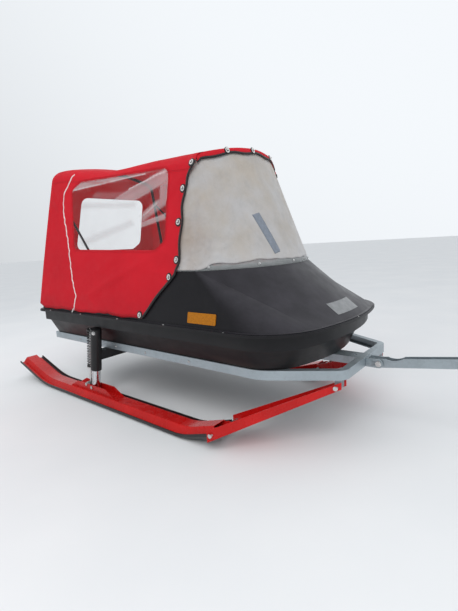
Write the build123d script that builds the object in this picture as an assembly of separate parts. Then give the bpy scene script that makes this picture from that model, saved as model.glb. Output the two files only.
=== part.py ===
from build123d import *
import math
import os

# Passenger sled: a hollow tub with a deck, windshield and canopy on a channel frame,
# carried by two sprung skis and pulled by a hinged drawbar.
# Millimetres. X runs forward to the bow, Y to the left, Z up from the floor under the skis.

# Skis
ski_rear_tip_x = -1322.0
ski_rear_bend_x = -985.0
ski_front_bend_x = 407.0
ski_front_tip_x = 592.0
ski_tip_angle = 17.0
ski_rear_bend_radius = 700.0
ski_front_bend_radius = 400.0
sole_thickness = 8.0
sole_half = 85.0
sole_edge_height = 26.0
sole_edge_wall = 6.0
sole_chamfer = 13.0
sole_step = 8.0
ski_sheet = 3.0
ski_flange_half = 70.0
rib_base_half = 58.0
rib_top_half = 36.0
rib_height = 36.0

# Saddle on each ski, with the strut's foot between its cheeks
saddle_x = -440.0
saddle_bottom_half = 250.0
saddle_top_half = 155.0
saddle_height = 46.0
cheek_wall = 5.0
foot_pin_height = 32.0

# Struts
strut_foot_x = -434.0
strut_side_gap = 5.0
strut_rake = 11.0
leg_radius = 25.0
leg_wall = 5.0
leg_heel = 23.0
leg_inside_tube = 120.0
tube_radius = 32.0
tube_start = 114.0
tube_length = 264.0
spring_seat_drop = 24.0
tube_cap = 6.0
slide_clearance = 1.0
spring_radius = 23.0
spring_wire = 6.0
spring_turns = 15
spring_setback = 58.0
spring_seat = 6.0
rod_radius = 8.0
rod_eye_radius = 14.0

# Frame of folded channel
rail_height = 43.0
rail_flange = 32.0
rail_wall = 3.0
rail_bottom_z = 307.0
rail_half = 431.0
rail_rear_x = -1031.0
rail_joint_x = 660.0
rail_bend_x = 755.0
bow_x = 1075.0
bow_half = 251.0
rail_bend_radius = 200.0
bow_corner_radius = 60.0
cross_member_width = 46.0
rear_member_x = -960.0
middle_member_x = 520.0
mid_beam_width = 84.0
mid_beam_hole = 14.0
mid_beam_hole_setback = 55.0
strut_beam_width = 50.0
strut_beam_height = 57.0
strut_beam_wall = 4.0

# Trailing arms from the frame's front corners down to the skis
arm_ski_width = 184.0
arm_frame_width = 60.0
arm_ski_depth = 54.0
arm_frame_depth = 32.0
arm_wall = 4.0
arm_end = 16.0
arm_ski_pin_gap = 20.0
arm_ski_pin_rise = 30.0
arm_web_setback = 22.0
arm_frame_x = 1042.0
arm_frame_y = 246.0
arm_frame_drop = 30.0
lug_wall = 6.0
lug_half_gap = 5.0
lug_half_length = 16.0
lug_end = 12.0
lug_nose = 8.0
ear_length = 90.0
pin_radius = 6.0
pin_clearance = 0.3
pin_head = 5.0
pin_head_radius = 10.0

# Tub
rim_half = 532.0
rim_rear_x = -1050.0
rim_front_x = 1037.0
rim_front_sag = 120.0
rim_front_radius = 290.0
rim_rear_radius = 55.0
least_corner_radius = 12.0
rim_z = 530.0
lip_drop = 12.0
lip_wall = 4.0
tub_wall = 5.0
band_inset = 30.0
band_bottom_z = 457.0
step_width = 30.0
floor_inset = 107.0
floor_rear_inset = 50.0

# Deck: coaming round the cockpit and the hood that carries the windshield
deck_wall = 4.0
deck_flange_inset = 5.0
coaming_inset = 22.0
coaming_height = 24.0
hood_inset = 20.0
hood_rear_low_x = 50.0
hood_rear_high_x = 320.0
hood_top_z = 782.0
side_lean = 0.21
hood_corner_x = 450.0
hood_front_x = 716.0
hood_corner_radius = 34.0
hood_lip_height = 20.0
hood_lip_wall = 3.0

# Windshield
shield_wall = 4.0
shield_inset = 2.0
shield_front_rake = 0.343
shield_corner_rake = 0.142

# Canopy
cover_wall = 4.0
cover_gap = 4.0
cover_hem_z = 545.0
cover_rear_x = -1072.0
cover_rear_rake = 0.22
cover_rear_lean = 0.1365
cover_corner_radius = 50.0
cover_top_z = 1500.0
cover_shoulder_radius = 45.0
valance_low_z = 1290.0
valance_height = 36.0
window_gap = 0.3
window_corner = 35.0
rear_window_corner = 50.0
roof_trim = 1.0

# Hoops, stays and seat
hoop_radius = 11.0
hoop_wall = 2.0
hoop_foot_seat = 5.0
hoop_corner_radius = 70.0
hoop_arch_radius = 200.0
hoop_arch_share = 0.35
hoop_shoulder_drop = 12.0
hoop_roof_gap = 1.0
front_hoop_side_drop = 29.0
rear_hoop_side_drop = 21.0
front_hoop_foot_x = 318.0
soft_gap = 0.3
front_hoop_x = 375.0
rear_hoop_x = -800.0
stay_radius = 7.0
stay_top_z = 1256.0
stay_foot_x = -57.0
stay_clearance = 0.2
cushion_length = 470.0
cushion_width = 760.0
cushion_height = 125.0
cushion_rear_x = -800.0
cushion_round = 25.0
back_thickness = 90.0
back_height = 400.0
back_rake = 14.0
back_round = 20.0

# Trim that fills a place on the deck
reflector_x = 511.0
reflector_z = 575.0
reflector_length = 172.0
reflector_height = 50.0
reflector_thickness = 4.0
reflector_corner = 5.0
plate_width = 226.0
plate_low_z = 556.0
plate_high_z = 602.0
plate_thickness = 2.0

# Drawbar
hinge_x = 1133.0
hinge_z = 326.0
drawbar_slope = 8.0
drawbar_length = 800.0
drawbar_height = 40.0
drawbar_width = 44.0
drawbar_wall = 4.0
clevis_wall = 8.0
clevis_gap = 1.5
notch_centre = 69.0
notch_half = 37.0
notch_depth = 9.0
hinge_pin_radius = 8.0
hinge_pin_head_radius = 13.0
eye_x = 860.0
eye_outer_radius = 34.0
eye_bore_radius = 15.5
eye_thickness = 14.0
eye_shank = 110.0

# Levels and places that follow from the sizes above
rail_top_z = rail_bottom_z + rail_height
rib_top_z = sole_thickness + rib_height
foot_z = rib_top_z + foot_pin_height
cheek_inner = leg_radius + 2 * slide_clearance
tip_slope = math.tan(math.radians(ski_tip_angle))
ski_front_rise = (ski_front_tip_x - ski_front_bend_x) * tip_slope
arm_pin_x = ski_front_tip_x + arm_ski_pin_gap
arm_pin_z = ski_front_rise + arm_ski_pin_rise
arm_frame_z = rail_bottom_z - arm_frame_drop
ski_track_half = rim_half - band_inset - step_width + strut_side_gap + tube_radius
deck_z = rim_z + deck_wall
hood_half = rim_half - hood_inset
cover_half = hood_half + cover_gap + cover_wall
floor_z = rail_top_z + tub_wall
eye_tip_x = hinge_x + (eye_x + eye_outer_radius) * math.cos(math.radians(drawbar_slope))
eye_tip_x += eye_thickness / 2 * math.sin(math.radians(drawbar_slope))
middle_x = (ski_rear_tip_x + eye_tip_x) / 2


def box(x_range, y_range, z_range):
    """A box from its limits along the three axes."""
    size = [high - low for low, high in (x_range, y_range, z_range)]
    return Pos(x_range[0], y_range[0], z_range[0]) * Box(*size, align=(Align.MIN,) * 3)


def rod(start, end, radius):
    """A round bar between two points."""
    start, end = Vector(*start), Vector(*end)
    axis = end - start
    return extrude(Plane(start, z_dir=axis) * Circle(radius), axis.length)


def side_plate(points, y, thickness):
    """A plate parallel to the sled's length, its outline given as (x, z), centred on y."""
    face = make_face(Polyline(*[(x, y, z) for x, z in points], close=True))
    return extrude(face, thickness / 2, dir=(0, 1, 0), both=True)


def cross_pin(x, y, z, half_length, radius=pin_radius, head_radius=pin_head_radius):
    """A pin along Y with a head at each end, half_length from its middle to a head."""
    pin = rod((x, y - half_length, z), (x, y + half_length, z), radius)
    for sign in (-1, 1):
        inner = y + sign * half_length
        pin += rod((x, inner, z), (x, inner + sign * pin_head, z), head_radius)
    return pin


def both_sides(shape):
    """The right-hand piece as built and its mirrored left-hand fellow."""
    return (("right", shape), ("left", mirror(shape, about=Plane.XZ)))


# Skis, their soles and saddles

def swept_along_ski(points):
    y = -ski_track_half
    path = FilletPolyline(
        (ski_rear_tip_x, y, (ski_rear_bend_x - ski_rear_tip_x) * tip_slope),
        (ski_rear_bend_x, y, 0),
        (ski_front_bend_x, y, 0),
        (ski_front_tip_x, y, ski_front_rise),
        radius=[ski_rear_bend_radius, ski_front_bend_radius],
    )
    plane = Plane(path @ 0, x_dir=(0, 1, 0), z_dir=path % 0)
    right = [(-u, v) for u, v in reversed(points)]
    return sweep(plane * make_face(Polyline(*points, *right, close=True)), path)


def make_sole():
    inner = sole_half - sole_edge_wall
    # half outline: across, up
    return swept_along_ski((
        (inner - sole_step, sole_thickness),
        (inner, sole_thickness + sole_step),
        (inner, sole_edge_height),
        (sole_half, sole_edge_height),
        (sole_half, sole_chamfer),
        (sole_half - sole_chamfer, 0),
    ))


def foot_pins():
    """Places (x, z) of the strut's foot pin and of the spring rod's foot pin."""
    rod_foot = strut_plane(0).location * Pos(0, spring_setback, 0)
    return ((strut_foot_x, foot_z), (rod_foot.position.X, rod_foot.position.Z))


def make_ski():
    base = sole_thickness
    # half outline: across, up
    ski = swept_along_ski((
        (rib_top_half - ski_sheet, rib_top_z - ski_sheet),
        (rib_base_half - ski_sheet, base),
        (ski_flange_half, base),
        (ski_flange_half, base + ski_sheet),
        (rib_base_half, base + ski_sheet),
        (rib_top_half, rib_top_z),
    ))
    cheek = (
        (saddle_x - saddle_bottom_half, rib_top_z - 1),
        (saddle_x - saddle_top_half, rib_top_z + saddle_height),
        (saddle_x + saddle_top_half, rib_top_z + saddle_height),
        (saddle_x + saddle_bottom_half, rib_top_z - 1),
    )
    ear_rear_z = arm_pin_z - ear_length * tip_slope
    ear = (
        (arm_pin_x - ear_length, ear_rear_z - lug_nose),
        (arm_pin_x - ear_length, ear_rear_z + lug_nose),
        (arm_pin_x - lug_nose, arm_pin_z + lug_end),
        (arm_pin_x + lug_end, arm_pin_z + lug_nose),
        (arm_pin_x + lug_end, arm_pin_z - lug_nose),
        (arm_pin_x - lug_nose, arm_pin_z - lug_end),
    )
    y = -ski_track_half
    for sign in (-1, 1):
        ski += side_plate(cheek, y + sign * (cheek_inner + cheek_wall / 2), cheek_wall)
        ski += side_plate(ear, y + sign * rib_top_half, lug_wall)
    for x, z in (*foot_pins(), (arm_pin_x, arm_pin_z)):
        ski -= rod((x, y - sole_half, z), (x, y + sole_half, z), pin_radius + pin_clearance)
    return ski


# Struts

def strut_plane(along):
    """A plane square to the right strut's slide axis; its own Y points to the rear."""
    rake = math.radians(strut_rake)
    up = Vector(math.sin(rake), 0, math.cos(rake))
    foot = Vector(strut_foot_x, -ski_track_half, foot_z)
    return Plane(foot + up * along, x_dir=(0, 1, 0), z_dir=up)


def strut_round(along, length, radius, setback=0.0):
    return extrude(strut_plane(along) * (Pos(0, setback) * Circle(radius)), length)


def make_strut_tube():
    tube = strut_round(tube_start, tube_length, tube_radius)
    seat_at = tube_start + tube_length - spring_seat_drop
    ear = Pos(0, spring_setback / 2) * Rectangle(2 * spring_radius, spring_setback)
    ear += Pos(0, spring_setback) * Circle(spring_radius)
    tube += extrude(strut_plane(seat_at) * ear, spring_seat)
    tube -= strut_round(tube_start, tube_length - tube_cap, leg_radius + slide_clearance)
    tube -= strut_round(seat_at, spring_seat, rod_radius + slide_clearance, spring_setback)
    return tube


def make_strut_leg():
    length = leg_heel + tube_start + leg_inside_tube
    leg = strut_round(-leg_heel, length, leg_radius)
    leg -= strut_round(-leg_heel, length, leg_radius - leg_wall)
    y = -ski_track_half
    pin = ((strut_foot_x, y - leg_radius, foot_z), (strut_foot_x, y + leg_radius, foot_z))
    return leg - rod(*pin, pin_radius + pin_clearance)


def make_spring_rod():
    """The rod inside the spring, its foot eye and the collar that the spring stands on."""
    top = tube_start + tube_length - spring_seat_drop + 2 * spring_seat
    piece = strut_round(0, top, rod_radius, spring_setback)
    piece += strut_round(tube_start - spring_seat, spring_seat, spring_radius, spring_setback)
    (_, _), (x, z) = foot_pins()
    y = -ski_track_half
    ends = ((x, y - cheek_inner + 1, z), (x, y + cheek_inner - 1, z))
    piece += rod(*ends, rod_eye_radius)
    return piece - rod(*ends, pin_radius + pin_clearance)


def make_spring():
    """The coil, as a sleeve whose ridges are its turns."""
    start = tube_start
    length = tube_length - spring_seat_drop
    pitch = length / spring_turns
    wire = spring_wire / 2
    groove = spring_radius - spring_wire * 0.75
    inner = spring_radius - spring_wire
    points = [(inner, 0)]
    for turn in range(spring_turns):
        middle = (turn + 0.5) * pitch
        points += [(groove, middle - pitch / 2), (groove, middle - wire)]
        points += [(spring_radius, middle - wire / 2), (spring_radius, middle + wire / 2)]
        points += [(groove, middle + wire)]
    points += [(groove, length), (inner, length)]
    profile = make_face(Polyline(*[(r, 0, h) for r, h in points], close=True))
    sleeve = revolve(profile, Axis.Z)
    seat = strut_plane(start) * Pos(0, spring_setback, 0)
    return seat * sleeve


def make_suspension_pins():
    """Cross pins of the strut, the spring rod and both ends of the arm, as one set."""
    y = -ski_track_half
    pins = [cross_pin(x, y, z, cheek_inner + cheek_wall) for x, z in foot_pins()]
    # the arm's cheeks run off to one side, so the heads stand out on washers
    outer_taper = (arm_ski_width - arm_frame_width) / 2 + ski_track_half - arm_frame_y
    outer_taper /= arm_frame_x - arm_pin_x
    stand_out = pin_head_radius * outer_taper + soft_gap
    pins.append(cross_pin(arm_pin_x, y, arm_pin_z, arm_ski_width / 2 + stand_out))
    pins.append(cross_pin(arm_frame_x, -arm_frame_y, arm_frame_z, arm_frame_width / 2 + stand_out))
    return Compound(children=pins)


# Frame

def channel_section():
    """The rail's section: flanges inward along its X, web on its Y."""
    flange, wall, height = rail_flange, rail_wall, rail_height
    return make_face(Polyline(
        (0, 0),
        (flange, 0),
        (flange, wall),
        (wall, wall),
        (wall, height - wall),
        (flange, height - wall),
        (flange, height),
        (0, height),
        close=True,
    ))


def make_side_rail():
    start = Plane((rail_rear_x, -rail_half, rail_bottom_z), x_dir=(0, 1, 0), z_dir=(1, 0, 0))
    return extrude(start * channel_section(), rail_joint_x - rail_rear_x)


def make_front_bow():
    z = rail_bottom_z
    corners = ((rail_joint_x, rail_half), (rail_bend_x, rail_half), (bow_x, bow_half))
    path = FilletPolyline(
        *[(x, -y, z) for x, y in corners],
        *[(x, y, z) for x, y in reversed(corners)],
        radius=[rail_bend_radius, bow_corner_radius, bow_corner_radius, rail_bend_radius],
    )
    start = Plane(path @ 0, x_dir=(0, 1, 0), z_dir=(1, 0, 0))
    bow = sweep(start * channel_section(), path)
    low = arm_frame_z - lug_end
    lug = (
        (arm_frame_x - lug_half_length, rail_bottom_z + 1),
        (arm_frame_x - lug_half_length, arm_frame_z),
        (arm_frame_x - lug_nose, low),
        (arm_frame_x + lug_nose, low),
        (arm_frame_x + lug_half_length, arm_frame_z),
        (arm_frame_x + lug_half_length, rail_bottom_z + 1),
    )
    for side in (-1, 1):
        middle = side * arm_frame_y
        for sign in (-1, 1):
            bow += side_plate(lug, middle + sign * (lug_half_gap + lug_wall / 2), lug_wall)
        ends = [(arm_frame_x, middle + sign * arm_frame_width, arm_frame_z) for sign in (-1, 1)]
        bow -= rod(*ends, pin_radius + pin_clearance)
    return bow


def make_cross_member(x):
    """A channel with its web up, between the rails' webs and between their flanges."""
    half, width = rail_half - rail_wall, cross_member_width / 2
    low, high = rail_bottom_z + rail_wall, rail_top_z - rail_wall
    piece = box((x - width, x + width), (-half, half), (low, high))
    inner = width - rail_wall
    return piece - box((x - inner, x + inner), (-half, half), (low, high - rail_wall))


def make_mid_beam():
    rear, front = middle_member_x + cross_member_width / 2, bow_x - rail_wall
    half = mid_beam_width / 2
    low, high = rail_bottom_z + rail_wall, rail_top_z - rail_wall
    beam = box((rear, front), (-half, half), (low, high))
    inner = half - rail_wall
    beam -= box((rear, front), (-inner, inner), (low, high - rail_wall))
    hole_x = front - mid_beam_hole_setback
    return beam - rod((hole_x, 0, low), (hole_x, 0, high), mid_beam_hole / 2)


def make_strut_beam():
    """Square tube under the rails, its ends coped to the strut tubes."""
    top, low = rail_bottom_z, rail_bottom_z - strut_beam_height
    middle = (top + low) / 2
    x = strut_foot_x + (middle - foot_z) * math.tan(math.radians(strut_rake))
    half, wall = strut_beam_width / 2, strut_beam_wall
    ends = ski_track_half - tube_radius / 2
    beam = box((x - half, x + half), (-ends, ends), (low, top))
    beam -= box((x - half + wall, x + half - wall), (-ends, ends), (low + wall, top - wall))
    for _, tube in both_sides(strut_round(tube_start, tube_length, tube_radius)):
        beam -= tube
    return beam


def make_arm():
    """A tapered channel, open at the top, forked round the ski's front end."""
    ski_end, frame_end = arm_pin_x - arm_end, arm_frame_x + arm_end
    run = arm_frame_x - arm_pin_x

    def section(x, shrink, lift):
        share = (x - arm_pin_x) / run
        width = arm_ski_width + (arm_frame_width - arm_ski_width) * share
        y = -ski_track_half + (ski_track_half - arm_frame_y) * share
        depth = arm_ski_depth + (arm_frame_depth - arm_ski_depth) * share
        z = arm_pin_z + (arm_frame_z - arm_pin_z) * share - depth / 2 + lift
        half = width / 2 - shrink
        corners = ((x, y - half, z), (x, y + half, z))
        top = [(px, py, pz + depth) for px, py, pz in reversed(corners)]
        return make_face(Polyline(*corners, *top, close=True))

    arm = loft([section(ski_end, 0, 0), section(frame_end, 0, 0)], ruled=True)
    low, high = ski_end - arm_wall, frame_end + arm_wall
    arm -= loft([section(x, arm_wall, arm_wall) for x in (low, high)], ruled=True)
    # the web stops short of both pins
    drop = -arm_frame_depth / 2
    for ends in ((low, arm_pin_x + arm_web_setback), (arm_frame_x - arm_web_setback, high)):
        arm -= loft([section(x, arm_wall, drop) for x in ends], ruled=True)
    pins = ((arm_pin_x, ski_track_half, arm_pin_z), (arm_frame_x, arm_frame_y, arm_frame_z))
    for x, y, z in pins:
        ends = [(x, -y + sign * arm_ski_width, z) for sign in (-1, 1)]
        arm -= rod(*ends, pin_radius + pin_clearance)
    return arm


# Tub

def bowed_outline(z, half, rear, front, sag, front_radius, rear_radius=0):
    """A plan outline at height z: straight sides and rear, a shallow round front."""
    side = front - sag
    outline = Polyline((side, half), (rear, half), (rear, -half), (side, -half))
    outline += ThreePointArc((side, -half), (front, 0), (side, half))
    face = make_face(outline)
    face = fillet(face.vertices().group_by(Axis.X)[-1], front_radius)
    if rear_radius:
        face = fillet(face.vertices().group_by(Axis.X)[0], rear_radius)
    return Pos(0, 0, z) * face


def rim_outline(inset, z, rear_inset=None):
    """The sled's plan outline, drawn in by inset, at height z."""
    radii = (rim_front_radius - inset, max(rim_rear_radius - inset, least_corner_radius))
    rear = rim_rear_x + (inset if rear_inset is None else rear_inset)
    return bowed_outline(z, rim_half - inset, rear, rim_front_x - inset, rim_front_sag, *radii)


def ring(outer, inner, low, high):
    """An upright wall between two insets of the plan outline."""
    return extrude(rim_outline(outer, low), high - low) - extrude(rim_outline(inner, low), high - low)


def make_tub():
    lip_low = rim_z - lip_drop
    tub = extrude(rim_outline(0, lip_low), lip_drop)
    tub -= extrude(rim_outline(lip_wall, lip_low), lip_drop - lip_wall)
    tub += extrude(rim_outline(band_inset, band_bottom_z), rim_z - band_bottom_z)
    step = band_inset + step_width
    foot = rim_outline(floor_inset, rail_top_z, floor_rear_inset)
    tub += loft([foot, rim_outline(step, band_bottom_z, band_inset)], ruled=True)
    band_floor = band_bottom_z + tub_wall
    tub -= extrude(rim_outline(band_inset + tub_wall, band_floor), rim_z - band_floor)
    foot = rim_outline(floor_inset + tub_wall, floor_z, floor_rear_inset + tub_wall)
    top = rim_outline(step + tub_wall, band_floor, band_inset + tub_wall)
    return tub - loft([foot, top], ruled=True)


# Deck

def hood_solid(outset, rear_shift=0.0):
    """The hood's filled form, its skin moved outward by outset."""
    low = bowed_outline(
        deck_z,
        hood_half + outset,
        hood_rear_low_x + rear_shift,
        rim_front_x - hood_inset + outset,
        rim_front_sag,
        rim_front_radius - hood_inset + outset,
    )
    high = bowed_outline(
        hood_top_z,
        leaning_half(hood_top_z) + outset,
        hood_rear_high_x + rear_shift,
        hood_front_x + outset,
        hood_front_x - hood_corner_x,
        hood_corner_radius + outset,
    )
    return loft([low, high], ruled=True)


def leaning_half(z):
    """Half width of the hood's leaning side at height z."""
    return hood_half - side_lean * (z - deck_z)


def shield_solid(outset, low_z, high_z, rear_shift=0.0):
    """The windshield's filled form between two levels, its skin moved outward by outset."""
    sections = []
    for z in (low_z, high_z):
        rise = z - hood_top_z
        corner = hood_corner_x - shield_corner_rake * rise
        front = hood_front_x - shield_front_rake * rise
        skin = outset - shield_inset
        half = leaning_half(z) + skin
        rear = hood_rear_high_x + rear_shift
        radius = hood_corner_radius + skin
        sections.append(bowed_outline(z, half, rear, front + skin, front - corner, radius))
    return loft(sections, ruled=True)


def make_deck():
    deck = ring(deck_flange_inset, coaming_inset + deck_wall, rim_z, deck_z)
    coaming = ring(coaming_inset, coaming_inset + deck_wall, rim_z, deck_z + coaming_height)
    # the coaming ends just inside the hood
    end = hood_rear_low_x + 2 * coaming_inset
    deck += coaming - box((end, rim_front_x), (-rim_half, rim_half), (deck_z, hood_top_z))
    deck += hood_solid(0) - hood_solid(-deck_wall, -deck_wall * 2)
    back = -shield_wall - soft_gap
    top = hood_top_z + hood_lip_height
    lip = shield_solid(back, hood_top_z - deck_wall, top)
    lip += shield_solid(0, hood_top_z - deck_wall, hood_top_z)
    lip -= shield_solid(back - hood_lip_wall, hood_top_z - 2 * deck_wall, top + 1, -deck_wall * 2)
    return deck + lip


def make_plate():
    """A blank plate that follows the hood's front."""
    skin = hood_solid(plate_thickness) - hood_solid(0)
    half = plate_width / 2
    return skin & box((hood_front_x, rim_front_x), (-half, half), (plate_low_z, plate_high_z))


def side_panel_plane(x, z):
    """A plane on the right side's leaning face, its own Y up the face."""
    return Plane((x, -leaning_half(z), z), x_dir=(1, 0, 0), z_dir=(0, -1, side_lean))


def make_reflector():
    shape = RectangleRounded(reflector_length, reflector_height, reflector_corner)
    return extrude(side_panel_plane(reflector_x, reflector_z) * shape, reflector_thickness)


# Canopy: x of a section, height of the shoulder and of the crown
ROOF = (
    (-1100.0, 1412.0, 1462.0),
    (-760.0, 1420.0, 1470.0),
    (-480.0, 1384.0, 1432.0),
    (-270.0, 1348.0, 1396.0),
    (100.0, 1340.0, 1390.0),
    (400.0, 1324.0, 1376.0),
    (800.0, 1318.0, 1372.0),
)
# Front edge of the canopy's side: x, z
FRONT_EDGE = (
    (80.0, 528.0),
    (327.0, 773.0),
    (348.0, 808.0),
    (349.0, 1088.0),
    (356.0, 1168.0),
    (377.0, 1242.0),
    (398.0, 1286.0),
)
# Side window's corners: x, z
SIDE_WINDOW = ((-620.0, 1290.0), (230.0, 1280.0), (234.0, 936.0), (168.0, 889.0), (-585.0, 921.0))
# Rear window: its right and left sides, low and high z
REAR_WINDOW = (-250.0, 330.0, 905.0, 1290.0)


def roof_levels(x):
    """Heights of the roof's shoulder and crown at x."""
    for (rear, *low), (front, *high) in zip(ROOF, ROOF[1:]):
        if rear <= x <= front:
            share = (x - rear) / (front - rear)
            return [a + (b - a) * share for a, b in zip(low, high)]


def cover_side(x, z):
    """Half width of the canopy's outside; it leans less at the rear hoop than at the hood."""
    share = (hood_rear_high_x - x) / (hood_rear_high_x - rear_hoop_x)
    lean = side_lean + (cover_rear_lean - side_lean) * share
    return cover_half - lean * (z - deck_z)


def roof_solid(inset):
    """All that lies under the roof, drawn in by inset."""
    sections = []
    for x, shoulder, crown in ROOF:
        low = floor_z
        # a little wider than the walls, which trim it
        shoulder_half, foot_half = [cover_side(x, z) + roof_trim - inset for z in (shoulder, low)]
        shoulder_z, crown_z = shoulder - inset, crown - inset
        left, right = (-shoulder_half, shoulder_z), (shoulder_half, shoulder_z)
        lines = Polyline(left, (-foot_half, low), (foot_half, low), right)
        lines += ThreePointArc(right, (0, crown_z), left)
        face = make_face(lines)
        face = fillet(face.vertices().group_by(Axis.Y)[-1], cover_shoulder_radius - inset)
        plane = Plane((x, 0, 0), x_dir=(0, 1, 0), z_dir=(1, 0, 0))
        sections.append(plane * face)
    return loft(sections, ruled=True)


def wall_solid(inset):
    """All that lies within the canopy's leaning walls, drawn in by inset."""
    sections = []
    front = hood_front_x + inset
    for z in (cover_hem_z, cover_top_z):
        rear = cover_rear_x + cover_rear_rake * (z - cover_hem_z)
        rear_half, front_half = [cover_side(x, z) - inset for x in (rear, front)]
        rear += inset
        face = make_face(Polyline(
            (front, front_half),
            (rear, rear_half),
            (rear, -rear_half),
            (front, -front_half),
            close=True,
        ))
        face = fillet(face.vertices().group_by(Axis.X)[0], cover_corner_radius - inset)
        sections.append(Pos(0, 0, z) * face)
    return loft(sections, ruled=True)


def cover_solid(inset):
    return roof_solid(inset) & wall_solid(inset)


def side_window_prism(gap):
    face = make_face(Polyline(*[(x, 0, z) for x, z in SIDE_WINDOW], close=True))
    face = fillet(face.vertices(), window_corner)
    if gap:
        face = offset(face, -gap)
    return extrude(face, 2 * rim_half, dir=(0, -1, 0))


def rear_window_prism(gap):
    right, left, low, high = REAR_WINDOW
    width, height = left - right, high - low
    shape = RectangleRounded(width - 2 * gap, height - 2 * gap, rear_window_corner - gap)
    middle = (rear_hoop_x, (left + right) / 2, (low + high) / 2)
    plane = Plane(middle, x_dir=(0, 1, 0), z_dir=(-1, 0, 0))
    return extrude(plane * shape, rim_half)


def ahead_of_front_edge():
    """The space ahead of the canopy's front edge, but not that under its roof's front."""
    (low_x, _), (high_x, _) = FRONT_EDGE[0], FRONT_EDGE[-1]
    outline = (
        *FRONT_EDGE,
        (high_x, cover_top_z),
        (rim_front_x, cover_top_z),
        (rim_front_x, floor_z),
        (low_x, floor_z),
    )
    space = side_plate(outline, 0, 2 * rim_half)
    return space - shield_solid(cover_gap + cover_wall, valance_low_z, cover_top_z)


def make_cover_shell():
    return cover_solid(0) - cover_solid(cover_wall)


def make_canopy(shell):
    canopy = shell - ahead_of_front_edge()
    valance = shield_solid(cover_gap + cover_wall, valance_low_z, cover_top_z)
    valance -= shield_solid(cover_gap, valance_low_z - 1, cover_top_z + 1, -cover_corner_radius)
    valance &= roof_solid(0) - roof_solid(valance_height)
    ahead = (FRONT_EDGE[-1][0] - roof_trim, hood_front_x)
    canopy += valance & box(ahead, (-rim_half, rim_half), (valance_low_z, cover_top_z))
    canopy -= rear_window_prism(0)
    for _, prism in both_sides(side_window_prism(0)):
        canopy -= prism
    return canopy


def make_windshield():
    top = cover_top_z
    shield = shield_solid(0, hood_top_z, top) - shield_solid(-shield_wall, hood_top_z - 1, top + 1)
    return shield & roof_solid(cover_wall + soft_gap)


# Hoops and stays

def hoop_half(x, foot_x, side_drop):
    """Half a hoop's corners: x, distance out from the middle, z."""
    shoulder, crown = roof_levels(x)
    drop = cover_wall + soft_gap + hoop_radius + hoop_roof_gap
    foot_half = rim_half - band_inset - tub_wall - hoop_radius + hoop_foot_seat
    shoulder_half = cover_side(x, shoulder) - side_drop
    arch_y = shoulder_half * hoop_arch_share
    arch_z = crown - (crown - shoulder) * (arch_y / cover_side(x, shoulder)) ** 2 - drop
    return (
        (foot_x, foot_half, rim_z - hoop_radius),
        (x, shoulder_half, shoulder - drop - hoop_shoulder_drop),
        (x, arch_y, arch_z),
    )


def make_hoop(x, foot_x, side_drop):
    """A bent tube under the canopy: feet on the tub's ledge, shoulders, and a low arch."""
    half = hoop_half(x, foot_x, side_drop)
    points = [(px, -py, pz) for px, py, pz in half]
    points += [(px, py, pz) for px, py, pz in reversed(half)]
    radii = [hoop_corner_radius, hoop_arch_radius, hoop_arch_radius, hoop_corner_radius]
    path = FilletPolyline(*points, radius=radii)
    start = Plane(path @ 0, z_dir=path % 0)
    hoop = sweep(start * (Circle(hoop_radius) - Circle(hoop_radius - hoop_wall)), path)
    return hoop & above_ledge()


def above_ledge():
    """The space above the tub's ledge, where the hoops and stays stand."""
    return box((cover_rear_x, rim_front_x), (-rim_half, rim_half), (rim_z, cover_top_z))


def make_stay():
    """A thin tube from the rear hoop's leg, coped to it, down to the ledge."""
    half = hoop_half(rear_hoop_x, rear_hoop_x, rear_hoop_side_drop)
    low, high = [Vector(x, -y, z) for x, y, z in half[:2]]
    top = low + (high - low) * ((stay_top_z - low.Z) / (high.Z - low.Z))
    foot = (stay_foot_x, -(rim_half - band_inset - tub_wall), rim_z - stay_radius)
    return (rod(foot, top, stay_radius) & above_ledge()) - rod(low, high, hoop_radius + stay_clearance)


# Seat

def make_cushion():
    z = floor_z + soft_gap
    half = cushion_width / 2
    block = box((cushion_rear_x, cushion_rear_x + cushion_length), (-half, half), (z, z + cushion_height))
    return fillet(block.edges().group_by(Axis.Z)[-1], cushion_round)


def make_seat_back():
    z = floor_z + soft_gap
    lean = math.tan(math.radians(back_rake))
    front = cushion_rear_x - soft_gap
    top = z + back_height
    points = (
        (front, z),
        (front - back_thickness, z),
        (front - back_thickness - lean * back_height, top),
        (front - lean * back_height, top),
    )
    back = side_plate(points, 0, cushion_width)
    return fillet(back.edges().group_by(Axis.Z)[-1], back_round)


# Drawbar

def drawbar_plane():
    slope = math.radians(drawbar_slope)
    return Plane((hinge_x, 0, hinge_z), x_dir=(math.cos(slope), 0, math.sin(slope)), z_dir=(0, -1, 0))


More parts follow.
